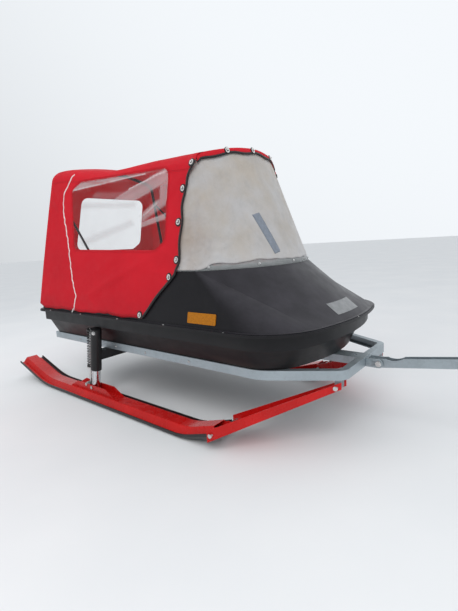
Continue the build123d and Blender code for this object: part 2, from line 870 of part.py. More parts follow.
def make_drawbar():
    high = drawbar_height / 2
    side = Polyline((0, -high), (drawbar_length, -high), (drawbar_length, high), (0, high))
    side += ThreePointArc((0, high), (-high, 0), (0, -high))
    plane = drawbar_plane()
    bar = extrude(plane * make_face(side), drawbar_width / 2, both=True)
    floor = high - drawbar_wall
    hollow = Pos(drawbar_length / 2, drawbar_wall) * Rectangle(drawbar_length + 2 * drawbar_height, 2 * high)
    bar -= extrude(plane * hollow, drawbar_width / 2 - drawbar_wall, both=True)
    notch_radius = (notch_half ** 2 + notch_depth ** 2) / (2 * notch_depth)
    notch = Pos(notch_centre, high - notch_depth + notch_radius) * Circle(notch_radius)
    bar -= extrude(plane * notch, drawbar_width, both=True)
    bar -= extrude(plane * Circle(hinge_pin_radius + pin_clearance), drawbar_width, both=True)
    flat = Plane(plane.origin, x_dir=plane.x_dir, z_dir=plane.y_dir)
    inner = drawbar_width - 2 * drawbar_wall
    shank = Pos(eye_x - eye_shank / 2, 0) * Rectangle(eye_shank, inner)
    eye = shank + Pos(eye_x, 0) * Circle(eye_outer_radius)
    eye -= Pos(eye_x, 0) * Circle(eye_bore_radius)
    return bar + extrude(flat * eye, eye_thickness / 2, both=True)


def make_clevis():
    inner = drawbar_width / 2 + clevis_gap
    outer = inner + clevis_wall
    high = drawbar_height / 2
    root = box((bow_x, bow_x + clevis_wall), (-outer, outer), (hinge_z - high, hinge_z + high))
    low, top = (hinge_x, hinge_z - high), (hinge_x, hinge_z + high)
    side = make_face(
        Polyline(low, (bow_x, hinge_z - high), (bow_x, hinge_z + high), top)
        + ThreePointArc(top, (hinge_x + high, hinge_z), low)
    )
    for sign in (-1, 1):
        middle = sign * (inner + clevis_wall / 2)
        cheek = Plane((0, middle, 0), x_dir=(1, 0, 0), z_dir=(0, -1, 0)) * side
        root += extrude(cheek, clevis_wall / 2, both=True)
    ends = ((hinge_x, -outer, hinge_z), (hinge_x, outer, hinge_z))
    return root - rod(*ends, hinge_pin_radius + pin_clearance)


def make_drawbar_pin():
    half = drawbar_width / 2 + clevis_gap + clevis_wall
    return cross_pin(hinge_x, 0, hinge_z, half, hinge_pin_radius, hinge_pin_head_radius)


def all_parts():
    shell = make_cover_shell()
    parts = {
        "tub": make_tub(),
        "deck": make_deck(),
        "windshield": make_windshield(),
        "canopy": make_canopy(shell),
        "rear_window": shell & rear_window_prism(window_gap),
        "front_hoop": make_hoop(front_hoop_x, front_hoop_foot_x, front_hoop_side_drop),
        "rear_hoop": make_hoop(rear_hoop_x, rear_hoop_x, rear_hoop_side_drop),
        "seat_cushion": make_cushion(),
        "seat_back": make_seat_back(),
        "front_bow": make_front_bow(),
        "rear_cross_member": make_cross_member(rear_member_x),
        "middle_cross_member": make_cross_member(middle_member_x),
        "mid_beam": make_mid_beam(),
        "strut_beam": make_strut_beam(),
        "number_plate": make_plate(),
        "drawbar_clevis": make_clevis(),
        "drawbar": make_drawbar(),
        "drawbar_pin": make_drawbar_pin(),
    }
    right_hand = {
        "side_window": shell & side_window_prism(window_gap),
        "stay": make_stay(),
        "side_rail": make_side_rail(),
        "strut_tube": make_strut_tube(),
        "strut_leg": make_strut_leg(),
        "strut_spring": make_spring(),
        "spring_rod": make_spring_rod(),
        "ski": make_ski(),
        "ski_sole": make_sole(),
        "arm": make_arm(),
        "suspension_pins": make_suspension_pins(),
        "reflector": make_reflector(),
    }
    for name, shape in right_hand.items():
        for side, piece in both_sides(shape):
            parts[f"{name}_{side}"] = piece
    # the frame's origin is on the floor, under the middle of the whole length
    return {name: Pos(-middle_x, 0, 0) * shape for name, shape in parts.items()}


if __name__ == "__main__":
    os.makedirs("parts", exist_ok=True)
    for name, shape in all_parts().items():
        export_step(shape, f"parts/{name}.step")
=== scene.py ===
import math

import bmesh
import bpy
from bpy.props import FloatProperty, FloatVectorProperty, PointerProperty
from mathutils import Matrix, Vector, noise


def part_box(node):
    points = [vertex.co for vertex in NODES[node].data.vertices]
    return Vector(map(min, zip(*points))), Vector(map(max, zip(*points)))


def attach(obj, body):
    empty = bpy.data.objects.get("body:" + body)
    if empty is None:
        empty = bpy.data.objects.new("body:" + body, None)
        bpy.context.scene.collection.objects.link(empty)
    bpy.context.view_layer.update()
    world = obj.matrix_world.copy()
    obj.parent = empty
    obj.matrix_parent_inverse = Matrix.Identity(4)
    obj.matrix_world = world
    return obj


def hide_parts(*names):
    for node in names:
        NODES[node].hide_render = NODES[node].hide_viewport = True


bl_info = {
    "name": "Passenger sled",
    "version": (1, 0, 0),
    "blender": (4, 5, 0),
    "location": "View3D > Sidebar > Sled",
    "description": "Dresses the covered passenger sled's frame with cloth, film, plastic and steel",
    "category": "Object",
}

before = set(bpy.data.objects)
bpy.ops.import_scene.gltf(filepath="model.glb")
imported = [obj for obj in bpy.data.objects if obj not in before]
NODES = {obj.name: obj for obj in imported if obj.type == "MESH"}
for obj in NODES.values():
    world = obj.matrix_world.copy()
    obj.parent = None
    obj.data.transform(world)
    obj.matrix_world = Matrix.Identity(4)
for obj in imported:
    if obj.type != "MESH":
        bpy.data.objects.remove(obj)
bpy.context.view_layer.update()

# Sizes of the part's source, in its own millimetres from the floor, the centre line and its origin
MIDDLE_X = 348.64
RIM_Z = 530.0
DECK_Z = 534.0
HOOD_HALF = 512.0
HOOD_REAR_HIGH_X = 320.0
HOOD_TOP_Z = 782.0
HOOD_CORNER_X = 450.0
HOOD_FRONT_X = 716.0
HOOD_CORNER_RADIUS = 34.0
SIDE_LEAN = 0.21
REAR_LEAN = 0.1365
REAR_HOOP_X = -800.0
SHIELD_INSET = 2.0
COVER_HALF = 520.0
COVER_REAR_X = -1072.0
COVER_REAR_RAKE = 0.22
COVER_HEM_Z = 545.0
TRACK_HALF = 509.0
STRUT_FOOT_X = -434.0
STRUT_FOOT_Z = 76.0
STRUT_RAKE = math.radians(11.0)
RAIL_HALF = 431.0
RAIL_BOLT_Z = 328.0
RAIL_BOLTS = (-700.0, -295.0, -15.0, 330.0)

# The windshield's sheet: its lean and the growth of its corners' radius, per unit of height.
# It leans further back than its solid.
SHIELD_FRONT_RAKE = 0.385
SHIELD_CORNER_RAKE = 0.165
SHIELD_CORNER_OPENING = 0.2
# How far it runs back past the top of the hood's rear edge, its foot above the hood and its top below the canopy
SHIELD_RUN_BACK = 60.0
SHIELD_FOOT_GAP = 1.0
SHIELD_TOP_GAP = 9.0
# Height of the windshield's screws
SCREW_Z = 798.0
# Right half of the windshield's screws, and the one near its middle: x, y
SHIELD_SCREWS = ((349.0, -454.6), (498.4, -419.9), (653.0, -234.8), (708.9, -18.0))
# Screws on the right half of the rim: x, y
RIM_SCREWS = (
    (273.0, -526.0),
    (653.0, -523.0),
    (866.0, -460.0),
    (984.0, -273.0),
    (1029.0, 0.0),
    (-107.0, -526.0),
    (-487.0, -526.0),
    (-867.0, -526.0),
    (-1044.0, -260.0),
)

# Canopy: x of a section, height of the shoulder and of the crown
ROOF = (
    (-1100.0, 1412.0, 1462.0),
    (-760.0, 1420.0, 1470.0),
    (-480.0, 1384.0, 1432.0),
    (-270.0, 1348.0, 1396.0),
    (100.0, 1340.0, 1390.0),
    (400.0, 1324.0, 1376.0),
    (800.0, 1318.0, 1372.0),
)
# Front edge of the canopy's side: x, z
FRONT_EDGE = (
    (80.0, 528.0),
    (327.0, 773.0),
    (348.0, 808.0),
    (349.0, 1088.0),
    (356.0, 1168.0),
    (377.0, 1242.0),
    (398.0, 1286.0),
    (400.0, 1400.0),
)
# Corners of the windows' openings: x, z at the side and y, z at the rear
SIDE_WINDOW = ((-618.0, 1286.0), (-520.0, 1322.0), (228.0, 1286.0), (234.0, 936.0), (168.0, 889.0), (-585.0, 921.0))
REAR_WINDOW = ((-220.0, 912.0), (288.0, 903.0), (360.0, 952.0), (372.0, 1288.0), (-172.0, 1286.0))
SIDE_WINDOW_RADIUS = 35.0
REAR_WINDOW_RADIUS = 50.0
# Turn buttons along the canopy's front edge: x, z
BUTTONS = (
    (82.0, 563.0),
    (284.0, 757.0),
    (328.0, 838.0),
    (324.0, 1015.0),
    (336.0, 1172.0),
    (381.0, 1286.0),
)
# Zip down the canopy's side: x, z
ZIP = (
    (-601.0, 1382.0),
    (-637.0, 1351.0),
    (-690.0, 1290.0),
    (-711.0, 1253.0),
    (-716.0, 1182.0),
    (-691.0, 1086.0),
    (-654.0, 958.0),
    (-626.0, 846.0),
    (-596.0, 715.0),
    (-562.0, 640.0),
    (-572.0, 590.0),
    (-582.0, 547.0),
)


def mm(x, y, z):
    """A point of the part's source, in millimetres, as a point of the frame in metres."""
    return Vector(((x - MIDDLE_X) / 1000, y / 1000, z / 1000))


# The right side comes first
SIDES = (-1, 1)
SIDE_NAMES = {"left": 1, "right": -1}


def between(low, high, share):
    return low + (high - low) * share


def smooth_step(value, low, high):
    share = min(max((value - low) / (high - low), 0.0), 1.0)
    return share * share * (3 - 2 * share)


def along_table(rows, value, key=0, smooth=True):
    """The rows' other columns at value of the key column, by a smooth or a straight line through them."""
    value = min(max(value, rows[0][key]), rows[-1][key])
    for i, (low, high) in enumerate(zip(rows, rows[1:])):
        if value <= high[key]:
            break
    before = rows[i - 1] if i else low
    after = rows[i + 2] if i + 2 < len(rows) else high
    t = (value - low[key]) / (high[key] - low[key])
    found = []
    for column in range(len(low)):
        if column == key:
            continue
        if not smooth:
            found.append(between(low[column], high[column], t))
            continue
        span = high[key] - low[key]
        slope_low = (high[column] - before[column]) / max(high[key] - before[key], 1) * span
        slope_high = (after[column] - low[column]) / max(after[key] - low[key], 1) * span
        found.append(
            (2 * t**3 - 3 * t**2 + 1) * low[column]
            + (t**3 - 2 * t**2 + t) * slope_low
            + (-2 * t**3 + 3 * t**2) * high[column]
            + (t**3 - t**2) * slope_high
        )
    return found


# Meshes

def put_in_scene(name, mesh, finish):
    """An object with the mesh and its finish, smooth and riding on the sled."""
    obj = bpy.data.objects.new(name, mesh)
    bpy.context.scene.collection.objects.link(obj)
    shade_smooth(mesh)
    dress(obj, finish)
    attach(obj, "sled")
    return obj


def shade_smooth(mesh):
    for polygon in mesh.polygons:
        polygon.use_smooth = True


def from_faces(name, vertices, faces, finish):
    mesh = bpy.data.meshes.new(name)
    mesh.from_pydata([tuple(v) for v in vertices], [], faces)
    mesh.validate()
    return put_in_scene(name, mesh, finish)


def from_bmesh(name, bm, finish):
    mesh = bpy.data.meshes.new(name)
    bm.normal_update()
    bm.to_mesh(mesh)
    bm.free()
    return put_in_scene(name, mesh, finish)


def set_finish(obj, finish):
    obj.data.materials.clear()
    obj.data.materials.append(FINISHES[finish]())


def dress(obj, finish):
    """Gives a piece its material."""
    set_finish(obj, finish)


def modifier(obj, kind, **settings):
    made = obj.modifiers.new(kind.title(), kind)
    for key, value in settings.items():
        setattr(made, key, value)
    return made


def apply_modifiers(obj):
    graph = bpy.context.evaluated_depsgraph_get()
    mesh = bpy.data.meshes.new_from_object(obj.evaluated_get(graph))
    obj.modifiers.clear()
    obj.data = mesh


def thicken(obj, thickness, offset=-1.0):
    """Gives a sheet its thickness, inward unless offset says otherwise."""
    modifier(obj, "SOLIDIFY", thickness=thickness, offset=offset)
    apply_modifiers(obj)


def add_ring(bm, centre, axis, side, radius, count, stretch=1.0):
    """A ring of vertices about an axis."""
    across = axis.cross(side).normalized()
    made = []
    for i in range(count):
        turn = 2 * math.pi * i / count
        offset = side * (radius * math.cos(turn)) + across * (radius * stretch * math.sin(turn))
        made.append(bm.verts.new(centre + offset))
    return made


def bridge(bm, low, high):
    """Faces between two rings of as many vertices."""
    count = len(low)
    for i in range(count):
        j = (i + 1) % count
        bm.faces.new((low[i], low[j], high[j], high[i]))


def closed_bar(bm, rings):
    """Joins rings of vertices into a bar with flat ends."""
    for low, high in zip(rings, rings[1:]):
        bridge(bm, low, high)
    bm.faces.new(list(reversed(rings[0])))
    bm.faces.new(rings[-1])


def add_bar(bm, sections):
    """A closed bar through sections, each a list of points in the same order."""
    closed_bar(bm, [[bm.verts.new(p) for p in section] for section in sections])


def before_and_after(points, i):
    """The neighbours of a point of a line, which at an end are the point itself."""
    return points[max(i - 1, 0)], points[min(i + 1, len(points) - 1)]


def turned(bm, start, axis, profile, count=20, side=None, stretch=1.0):
    """A turned form: rings of (distance along the axis, radius), closed at both ends."""
    axis = axis.normalized()
    side = (side or axis.orthogonal()).normalized()
    side = (side - axis * side.dot(axis)).normalized()
    closed_bar(bm, [
        add_ring(bm, start + axis * along, axis, side, radius, count, stretch) for along, radius in profile
    ])


def tube_along(bm, points, radius, count):
    """A round tube through points, with flat ends."""
    rings = []
    side = None
    for i, point in enumerate(points):
        behind, ahead = before_and_after(points, i)
        axis = (ahead - behind).normalized()
        side = axis.orthogonal().normalized() if side is None else (side - axis * side.dot(axis)).normalized()
        rings.append(add_ring(bm, point, axis, side, radius, count))
    closed_bar(bm, rings)


def resampled(points, step):
    """Points at an even distance along a line."""
    lengths = [0.0]
    for a, b in zip(points, points[1:]):
        lengths.append(lengths[-1] + (b - a).length)
    count = max(int(round(lengths[-1] / step)), 1)
    found = []
    i = 0
    for k in range(count + 1):
        at = lengths[-1] * k / count
        while i < len(lengths) - 2 and lengths[i + 1] < at:
            i += 1
        run = lengths[i + 1] - lengths[i]
        found.append(points[i].lerp(points[i + 1], (at - lengths[i]) / run if run else 0.0))
    return found


# Lines and outlines

def middle_of(points):
    """Mean of flat points."""
    return sum(points, Vector((0.0, 0.0))) / len(points)


def away(direction, along):
    """The direction, turned round if it runs against along."""
    return -direction if direction.dot(along) < 0 else direction


def outward(points, i):
    """Direction square to a closed outline at point i, away from the outline's middle."""
    total = len(points)
    run = (points[(i + 1) % total] - points[i - 1]).normalized()
    return away(Vector((run.y, -run.x)), points[i] - middle_of(points))


def polygon_sides(polygon):
    """Each side of a convex outline: start, direction, outward direction and length."""
    middle = middle_of(polygon)
    sides = []
    for i, a in enumerate(polygon):
        run = polygon[(i + 1) % len(polygon)] - a
        along = run.normalized()
        sides.append((a, along, away(Vector((along.y, -along.x)), a - middle), run.length))
    return sides


def grown(polygon, distance):
    """A closed outline moved outward."""
    return [p + outward(polygon, i) * distance for i, p in enumerate(polygon)]


def even_loop(polygon, step):
    """A closed outline with its points at an even distance."""
    points = [Vector((p.x, p.y, 0.0)) for p in polygon]
    return [p.xy for p in resampled(points + points[:1], step)]


def square_to(points):
    """Directions square to a flat line, to its left, at each of its points."""
    found = []
    for i in range(len(points)):
        behind, ahead = before_and_after(points, i)
        run = (ahead - behind).normalized()
        found.append(Vector((-run.y, run.x)))
    return found


def square_part(direction, axis):
    """The part of a direction that is square to an axis, at unit length."""
    return (direction - axis * direction.dot(axis)).normalized()


def smooth_line(points, steps):
    """A smooth line through points."""
    line = []
    for i in range(len(points) - 1):
        a, b, c, d = (points[min(max(k, 0), len(points) - 1)] for k in range(i - 1, i + 3))
        for k in range(steps):
            t = k / steps
            cubic = (3 * b - a - 3 * c + d) * t**3
            line.append(0.5 * (2 * b + (c - a) * t + (2 * a - 5 * b + 4 * c - d) * t * t + cubic))
    return line + [points[-1]]


# The windshield's surface, in the source's millimetres

def outline(half, rear, front, sag, radius, steps):
    """Plan points (x, y) from the right side's rear end, round the front, to the left side's."""
    side_steps, corner_steps, arc_steps = steps
    big = (half * half + sag * sag) / (2 * sag)
    cx = front - big
    tx = cx + math.sqrt((big - radius) ** 2 - (half - radius) ** 2)
    ty = -(half - radius)
    points = [(between(rear, tx, i / side_steps), -half) for i in range(side_steps)]
    end = math.atan2(ty, tx - cx)
    for i in range(corner_steps):
        turn = between(-math.pi / 2, end, i / corner_steps)
        points.append((tx + radius * math.cos(turn), ty + radius * math.sin(turn)))
    for i in range(arc_steps + 1):
        turn = between(end, 0, i / arc_steps)
        points.append((cx + big * math.cos(turn), big * math.sin(turn)))
    return points + [(x, -y) for x, y in reversed(points[:-1])]


def leaning_half(z):
    return HOOD_HALF - SIDE_LEAN * (z - DECK_Z)


def shield_section(z, offset):
    """Half width, front and sag of the windshield's front at height z, moved outward by offset."""
    rise = z - HOOD_TOP_Z
    skin = offset - SHIELD_INSET
    front = HOOD_FRONT_X - SHIELD_FRONT_RAKE * rise
    corner = HOOD_CORNER_X - SHIELD_CORNER_RAKE * rise
    return leaning_half(z) + skin, front + skin, front - corner


def shield_outline(z, offset, steps):
    """The windshield's outline at height z, moved outward by offset."""
    rise = z - HOOD_TOP_Z
    radius = HOOD_CORNER_RADIUS + SHIELD_CORNER_OPENING * max(rise, 0.0) + offset - SHIELD_INSET
    half, front, sag = shield_section(z, offset)
    return outline(half, HOOD_REAR_HIGH_X - SHIELD_RUN_BACK, front, sag, radius, steps)


def shield_x(y, z, offset=0.0):
    """x of the windshield's outside at y and z."""
    half, front, sag = shield_section(z, offset)
    big = (half * half + sag * sag) / (2 * sag)
    y = min(abs(y), half)
    return front - big + math.sqrt(big * big - y * y)


# The canopy's surface: a leaning box with rounded edges, in the source's millimetres

CANOPY_ROUND = 48.0
WALL_COLUMNS, WALL_ROWS, HALF_COLUMNS = 88, 52, 26
# Rounds of the search for a point whose x and z depend on each other
SEARCH_ROUNDS = 6


def cover_side(x, z):
    """Half width of the canopy's outside."""
    share = (HOOD_REAR_HIGH_X - x) / (HOOD_REAR_HIGH_X - REAR_HOOP_X)
    lean = SIDE_LEAN + (REAR_LEAN - SIDE_LEAN) * share
    return COVER_HALF - lean * (z - DECK_Z)


def wall_half(x, z):
    """Half width at a height, which over the shoulder stays the shoulder's."""
    return cover_side(x, min(z, along_table(ROOF, x)[0]))


def roof_z(x, y):
    shoulder, crown = along_table(ROOF, x)
    half = cover_side(x, shoulder)
    return crown - (crown - shoulder) * min(abs(y) / half, 1.0) ** 2


def cloth_z(x, y):
    """Height of the canopy over a point, with its rounded shoulder."""
    z = roof_z(x, y)
    inward = min(max(cover_side(x, z) - abs(y), 0.0), CANOPY_ROUND)
    return z - CANOPY_ROUND + math.sqrt(CANOPY_ROUND**2 - (CANOPY_ROUND - inward) ** 2)


def rear_x(z):
    return COVER_REAR_X + COVER_REAR_RAKE * (z - COVER_HEM_Z)


def rounded(to_rear, to_side, to_roof, x, y_sign, z):
    """The point of the rounded surface for a point of the sharp one, given by its three distances."""
    r = CANOPY_ROUND
    d = Vector((to_rear, to_side, to_roof))
    c = Vector((max(to_rear, r), max(to_side, r), max(to_roof, r)))
    v = c - d
    d = c - v.normalized() * r
    y = wall_half(x, z)
    for _ in range(4):
        z = roof_z(x, y) - d.z
        x = rear_x(z) + d.x
        y = wall_half(x, z) - d.y
    return Vector((x, y * y_sign, z))


def hem_z(x):
    """Height of the canopy's hem, which rides up at the rear corner."""
    wave = 3.0 * math.sin(x / 61.0) + 2.0 * math.sin(x / 23.0 + 1.3)
    lift = 9.0 * math.exp(-((x + 205.0) / 26.0) ** 2)
    return 545.0 + wave + lift + 26.0 * smooth_step(-x, 955.0, 1060.0)


def front_edge_x(z):
    """x of the canopy side's front edge, drawn in a little between the buttons."""
    x = along_table(FRONT_EDGE, z, key=1, smooth=False)[0]
    for (_, low), (_, high) in zip(BUTTONS, BUTTONS[1:]):
        if low <= z <= high:
            x -= 9.0 * math.sin(math.pi * (z - low) / (high - low)) ** 2
    return x


def row_places(count, near_steps=6, step=8.0):
    """Places along a length: close steps of the rounded edge first, then even ones."""
    def places(length):
        near = [i * step for i in range(near_steps)]
        rest = count - near_steps
        return near + [between(near_steps * step, length, i / rest) for i in range(rest + 1)]
    return places


column_places = row_places(WALL_COLUMNS)
height_places = row_places(WALL_ROWS)
half_places = row_places(HALF_COLUMNS)


def from_middle(half, k):
    """y of column k, counted from the middle, on a wall or roof of that half width."""
    return math.copysign(half - half_places(half)[HALF_COLUMNS - abs(k)], k) if k else 0.0


def wall_point(i, j):
    """A vertex of the side wall's flat form (x, z): column i from the rear, row j from the top."""
    x, z = 0.0, 900.0
    for _ in range(SEARCH_ROUNDS):
        top = along_table(ROOF, x)[0]
        z = top - height_places(top - hem_z(x))[j]
        x = rear_x(z) + column_places(front_edge_x(z) - rear_x(z))[i]
    return x, z


def rear_point(k, j):
    """A vertex of the rear wall's flat form (y, z): column k from the middle, row j from the top."""
    z = 900.0
    x = rear_x(z)
    for _ in range(SEARCH_ROUNDS):
        y = from_middle(wall_half(x, z), k)
        top = roof_z(x, y)
        z = top - height_places(top - hem_z(x))[j]
        x = rear_x(z)
    return y, z


def roof_point(k, i):
    """A vertex of the roof's flat form (x, y): column k from the middle, row i from the rear."""
    x = between(rear_x(1420.0), 400.0, i / WALL_COLUMNS)
    for _ in range(SEARCH_ROUNDS):
        shoulder = along_table(ROOF, x)[0]
        y = from_middle(cover_side(x, shoulder), k)
        z = roof_z(x, y)
        front = max(front_edge_x(shoulder), shield_x(y, z, -8.0))
        x = rear_x(z) + column_places(front - rear_x(z))[i]
    return x, y


def flat_grid(columns, rows, point, turn=False):
    """A flat mesh of point(column, row), and its last row; turn gives its faces the other winding."""
    bm = bmesh.new()
    grid = [[bm.verts.new((*point(i, j), 0.0)) for j in rows] for i in columns]
    for low, high in zip(grid, grid[1:]):
        for j in range(len(low) - 1):
            corners = (low[j], low[j + 1], high[j + 1], high[j])
            bm.faces.new((low[j], high[j], high[j + 1], low[j + 1]) if turn else corners)
    return bm, [column[-1] for column in grid]


def side_window():
    """Outline of the side windows' opening."""
    return rounded_polygon(SIDE_WINDOW, SIDE_WINDOW_RADIUS)


def rounded_polygon(corners, radius, steps=4):
    """Corner points with each corner turned into an arc, in the corners' order."""
    points = []
    total = len(corners)
    for i, corner in enumerate(corners):
        p = Vector(corner)
        before = (Vector(corners[i - 1]) - p).normalized()
        after = (Vector(corners[(i + 1) % total]) - p).normalized()
        angle = before.angle(after)
        cut = radius / math.tan(angle / 2)
        centre = p + (before + after).normalized() * (radius / math.sin(angle / 2))
        a, b = p + before * cut - centre, p + after * cut - centre
        swing = a.angle(b)
        for k in range(steps + 1):
            t = k / steps
            points.append(centre + (a * math.sin((1 - t) * swing) + b * math.sin(t * swing)) / math.sin(swing))
    return points


def cut_window(bm, polygon):
    """Cuts a convex polygon into a flat mesh and returns the faces within it."""
    lines = polygon_sides(polygon)
    for a, run, out, length in lines:
        # only the faces near the side are cut
        faces = []
        for face in bm.faces:
            d = face.calc_center_median().xy - a
            if -30 < d.dot(run) < length + 30 and abs(d.dot(out)) < 40:
                faces.append(face)
        edges = {e for f in faces for e in f.edges}
        vertices = {v for f in faces for v in f.verts}
        bmesh.ops.bisect_plane(
            bm, geom=faces + list(edges) + list(vertices), plane_co=(*a, 0), plane_no=(*out, 0), dist=0.05
        )
    return [
        face for face in bm.faces
        if all((face.calc_center_median().xy - a).dot(out) < 0 for a, _, out, _ in lines)
    ]


# Folds of the side walls: from x, z to x, z, how far they stand out and their half width
WALL_FOLDS = (
    (188, 872, -430, 642, 11.0, 17.0),
    (170, 850, -300, 650, -6.0, 28.0),
    (-118, 866, -448, 738, 7.0, 15.0),
    (120, 820, -360, 600, 5.0, 13.0),
    (332, 1290, 150, 1290, 4.0, 10.0),
    (345, 1240, 250, 1180, 4.0, 12.0),
    (320, 1165, 252, 1130, -3.5, 10.0),
    (318, 1010, 250, 1060, 4.0, 12.0),
    (316, 838, 230, 880, 4.5, 13.0),
    (268, 757, 120, 800, 4.5, 15.0),
    (80, 570, -80, 640, 5.0, 16.0),
    (60, 560, -260, 575, 4.0, 14.0),
    (-250, 552, -470, 660, 4.5, 18.0),
    (-730, 1390, -720, 1150, -3.0, 12.0),
    (-760, 1330, -660, 1230, 4.0, 14.0),
    (-700, 1100, -860, 1290, 4.0, 18.0),
    (-900, 1380, -1010, 700, 5.0, 30.0),
    (-880, 660, -1010, 590, 5.0, 18.0),
    (-650, 900, -900, 700, 4.0, 24.0),
    (-560, 1330, 100, 1310, 3.5, 9.0),
)
# Folds of the side panes, on top of the walls' own
PANE_FOLDS = (
    (-616, 1262, 226, 1262, 6.0, 9.0),
    (218, 1272, -196, 1180, 7.0, 12.0),
    (236, 1120, 30, 1040, 6.0, 10.0),
    (200, 1200, -10, 1160, -5.0, 12.0),
    (228, 1052, 50, 1030, 5.0, 8.0),
    (-560, 1180, -300, 960, 4.0, 16.0),
    (-300, 1150, -40, 940, 3.5, 14.0),
    (-590, 940, -420, 1100, 3.5, 12.0),
)
# Folds of the rear wall: from y, z to y, z
REAR_FOLDS = (
    (-420, 620, -180, 860, 6.0, 20.0),
    (430, 640, 200, 860, 6.0, 20.0),
    (-260, 1330, -330, 1120, 4.0, 16.0),
    (340, 1330, 380, 1100, 4.0, 16.0),
    (-100, 700, 60, 600, 4.0, 26.0),
)


def fold_height(folds, u, v):
    """How far the folds stand out at a point of the flat cloth."""
    height = 0.0
    for ua, va, ub, vb, high, wide in folds:
        run = Vector((ub - ua, vb - va))
        d = Vector((u - ua, v - va))
        along = d.dot(run) / run.length_squared
        if not -0.1 < along < 1.1:
            continue
        off = (d.x * run.y - d.y * run.x) / run.length
        fade = math.sin(math.pi * min(max((along + 0.1) / 1.2, 0), 1)) ** 0.7
        height += high * fade * math.exp(-((off / wide) ** 2))
    return height


def on_wall_surface(x, z, sign):
    return rounded(x - rear_x(z), 0.0, along_table(ROOF, x)[0] - z, x, sign, z)


def on_rear_surface(y, z, _):
    x = rear_x(z)
    return rounded(0.0, wall_half(x, z) - abs(y), roof_z(x, y) - z, x, 1 if y >= 0 else -1, z)


def on_roof_surface(x, y, _):
    z = roof_z(x, y)
    half = cover_side(x, along_table(ROOF, x)[0])
    return rounded(x - rear_x(z), half - abs(y), 0.0, x, 1 if y >= 0 else -1, z)


def map_canopy(bm, surface, sign, move):
    """Takes a flat mesh onto the canopy's surface and returns how far each vertex then moves out."""
    offsets = []
    for vertex in bm.verts:
        u, v, _ = vertex.co
        vertex.co = mm(*surface(u, v, sign))
        offsets.append(move(u, v))
    bm.normal_update()
    return offsets


# Rows of the band over the windshield: drop below the roof, distance out from the windshield
BAND_ROWS = ((0.6, -2.0), (2.5, 4.0), (6.0, 8.0), (12.0, 9.5), (18.0, 9.5), (24.0, 9.0), (30.0, 8.5), (36.0, 8.0))
BAND_HALF = 352.0


def band_drop(y):
    """The band's drop at y, as a share: less midway between its buttons."""
    return 1.0 - 0.25 * math.cos(math.pi * y / 175.0) ** 2 * (abs(y) < 340)


def hang_band(bm, edge):
    """Adds the rows that hang from the roof's front edge over the windshield, and returns the last."""
    row = edge
    for drop, out in BAND_ROWS:
        last, row = row, []
        for vertex in edge:
            x, y, z = vertex.co.x * 1000 + MIDDLE_X, vertex.co.y * 1000, vertex.co.z * 1000
            z -= drop * band_drop(y)
            reach = smooth_step(abs(y), BAND_HALF, 300.0)
            row.append(bm.verts.new(mm(between(x + out * 0.25 + 2, shield_x(y, z, out), reach), y, z)))
        for a, b, c, d in zip(last, last[1:], row[1:], row):
            bm.faces.new((a, b, c, d))
    return row


def slack(u, v, scale=1.0):
    """Slow unevenness of hung cloth."""
    slow = 3.0 * noise.noise(Vector((u / 170.0, v / 140.0, 3.0)))
    return scale * (slow + 1.2 * noise.noise(Vector((u / 60.0, v / 52.0, 9.0))))


def wall_move(x, z):
    """How far the side wall's cloth moves out, nothing along its edges."""
    calm = smooth_step(along_table(ROOF, x)[0] - z, 0.0, 60.0) * smooth_step(x - rear_x(z), 0.0, 70.0)
    calm *= smooth_step(front_edge_x(z) - x, -10.0, 40.0)
    return calm * (slack(x, z) + fold_height(WALL_FOLDS, x, z))


def rear_move(y, z):
    edge = min(cover_side(rear_x(z), z) - abs(y), roof_z(rear_x(z), y) - z)
    return smooth_step(edge, 0.0, 70.0) * (slack(y, z + 400) + fold_height(REAR_FOLDS, y, z))


def roof_move(x, y):
    """The roof's slack, with its sag between the hoops."""
    half = cover_side(x, along_table(ROOF, x)[0])
    edge = min(half - abs(y), x - rear_x(1440.0))
    sag = -28.0 * smooth_step(x, -800.0, -480.0) * smooth_step(-x, -390.0, 160.0) * (1 - (y / half) ** 2)
    return smooth_step(edge, 0.0, 60.0) * (slack(x, y, 0.8) + sag)


def push_out(bm, offsets):
    for vertex, offset in zip(bm.verts, offsets):
        vertex.co += vertex.normal * (offset / 1000)


def take_pane(bm, faces):
    """Moves a window's faces out of the cloth into a mesh of their own."""
    pane = bmesh.new()
    copied = {}
    for face in faces:
        for vertex in face.verts:
            if vertex not in copied:
                copied[vertex] = pane.verts.new(vertex.co)
        pane.faces.new([copied[v] for v in face.verts])
    bmesh.ops.delete(bm, geom=faces, context="FACES")
    return pane


def mapped_pane(pane, surface, sign, move):
    """The pane on its surface, and its points as they lay flat."""
    flat = [v.co.xy for v in pane.verts]
    push_out(pane, map_canopy(pane, surface, sign, move))
    return pane, flat


def wall_places(sign, points, lift=0.0):
    """Places on one side's cloth, lifted off it, for flat points (x, z)."""
    out = wall_out(sign)
    return [mm(*on_wall_surface(x, z, sign)) + out * ((wall_move(x, z) + lift) / 1000) for x, z in points]


def wall_out(sign, up=0.2):
    """Outward direction of one side's wall."""
    return Vector((0.0, float(sign), up)).normalized()


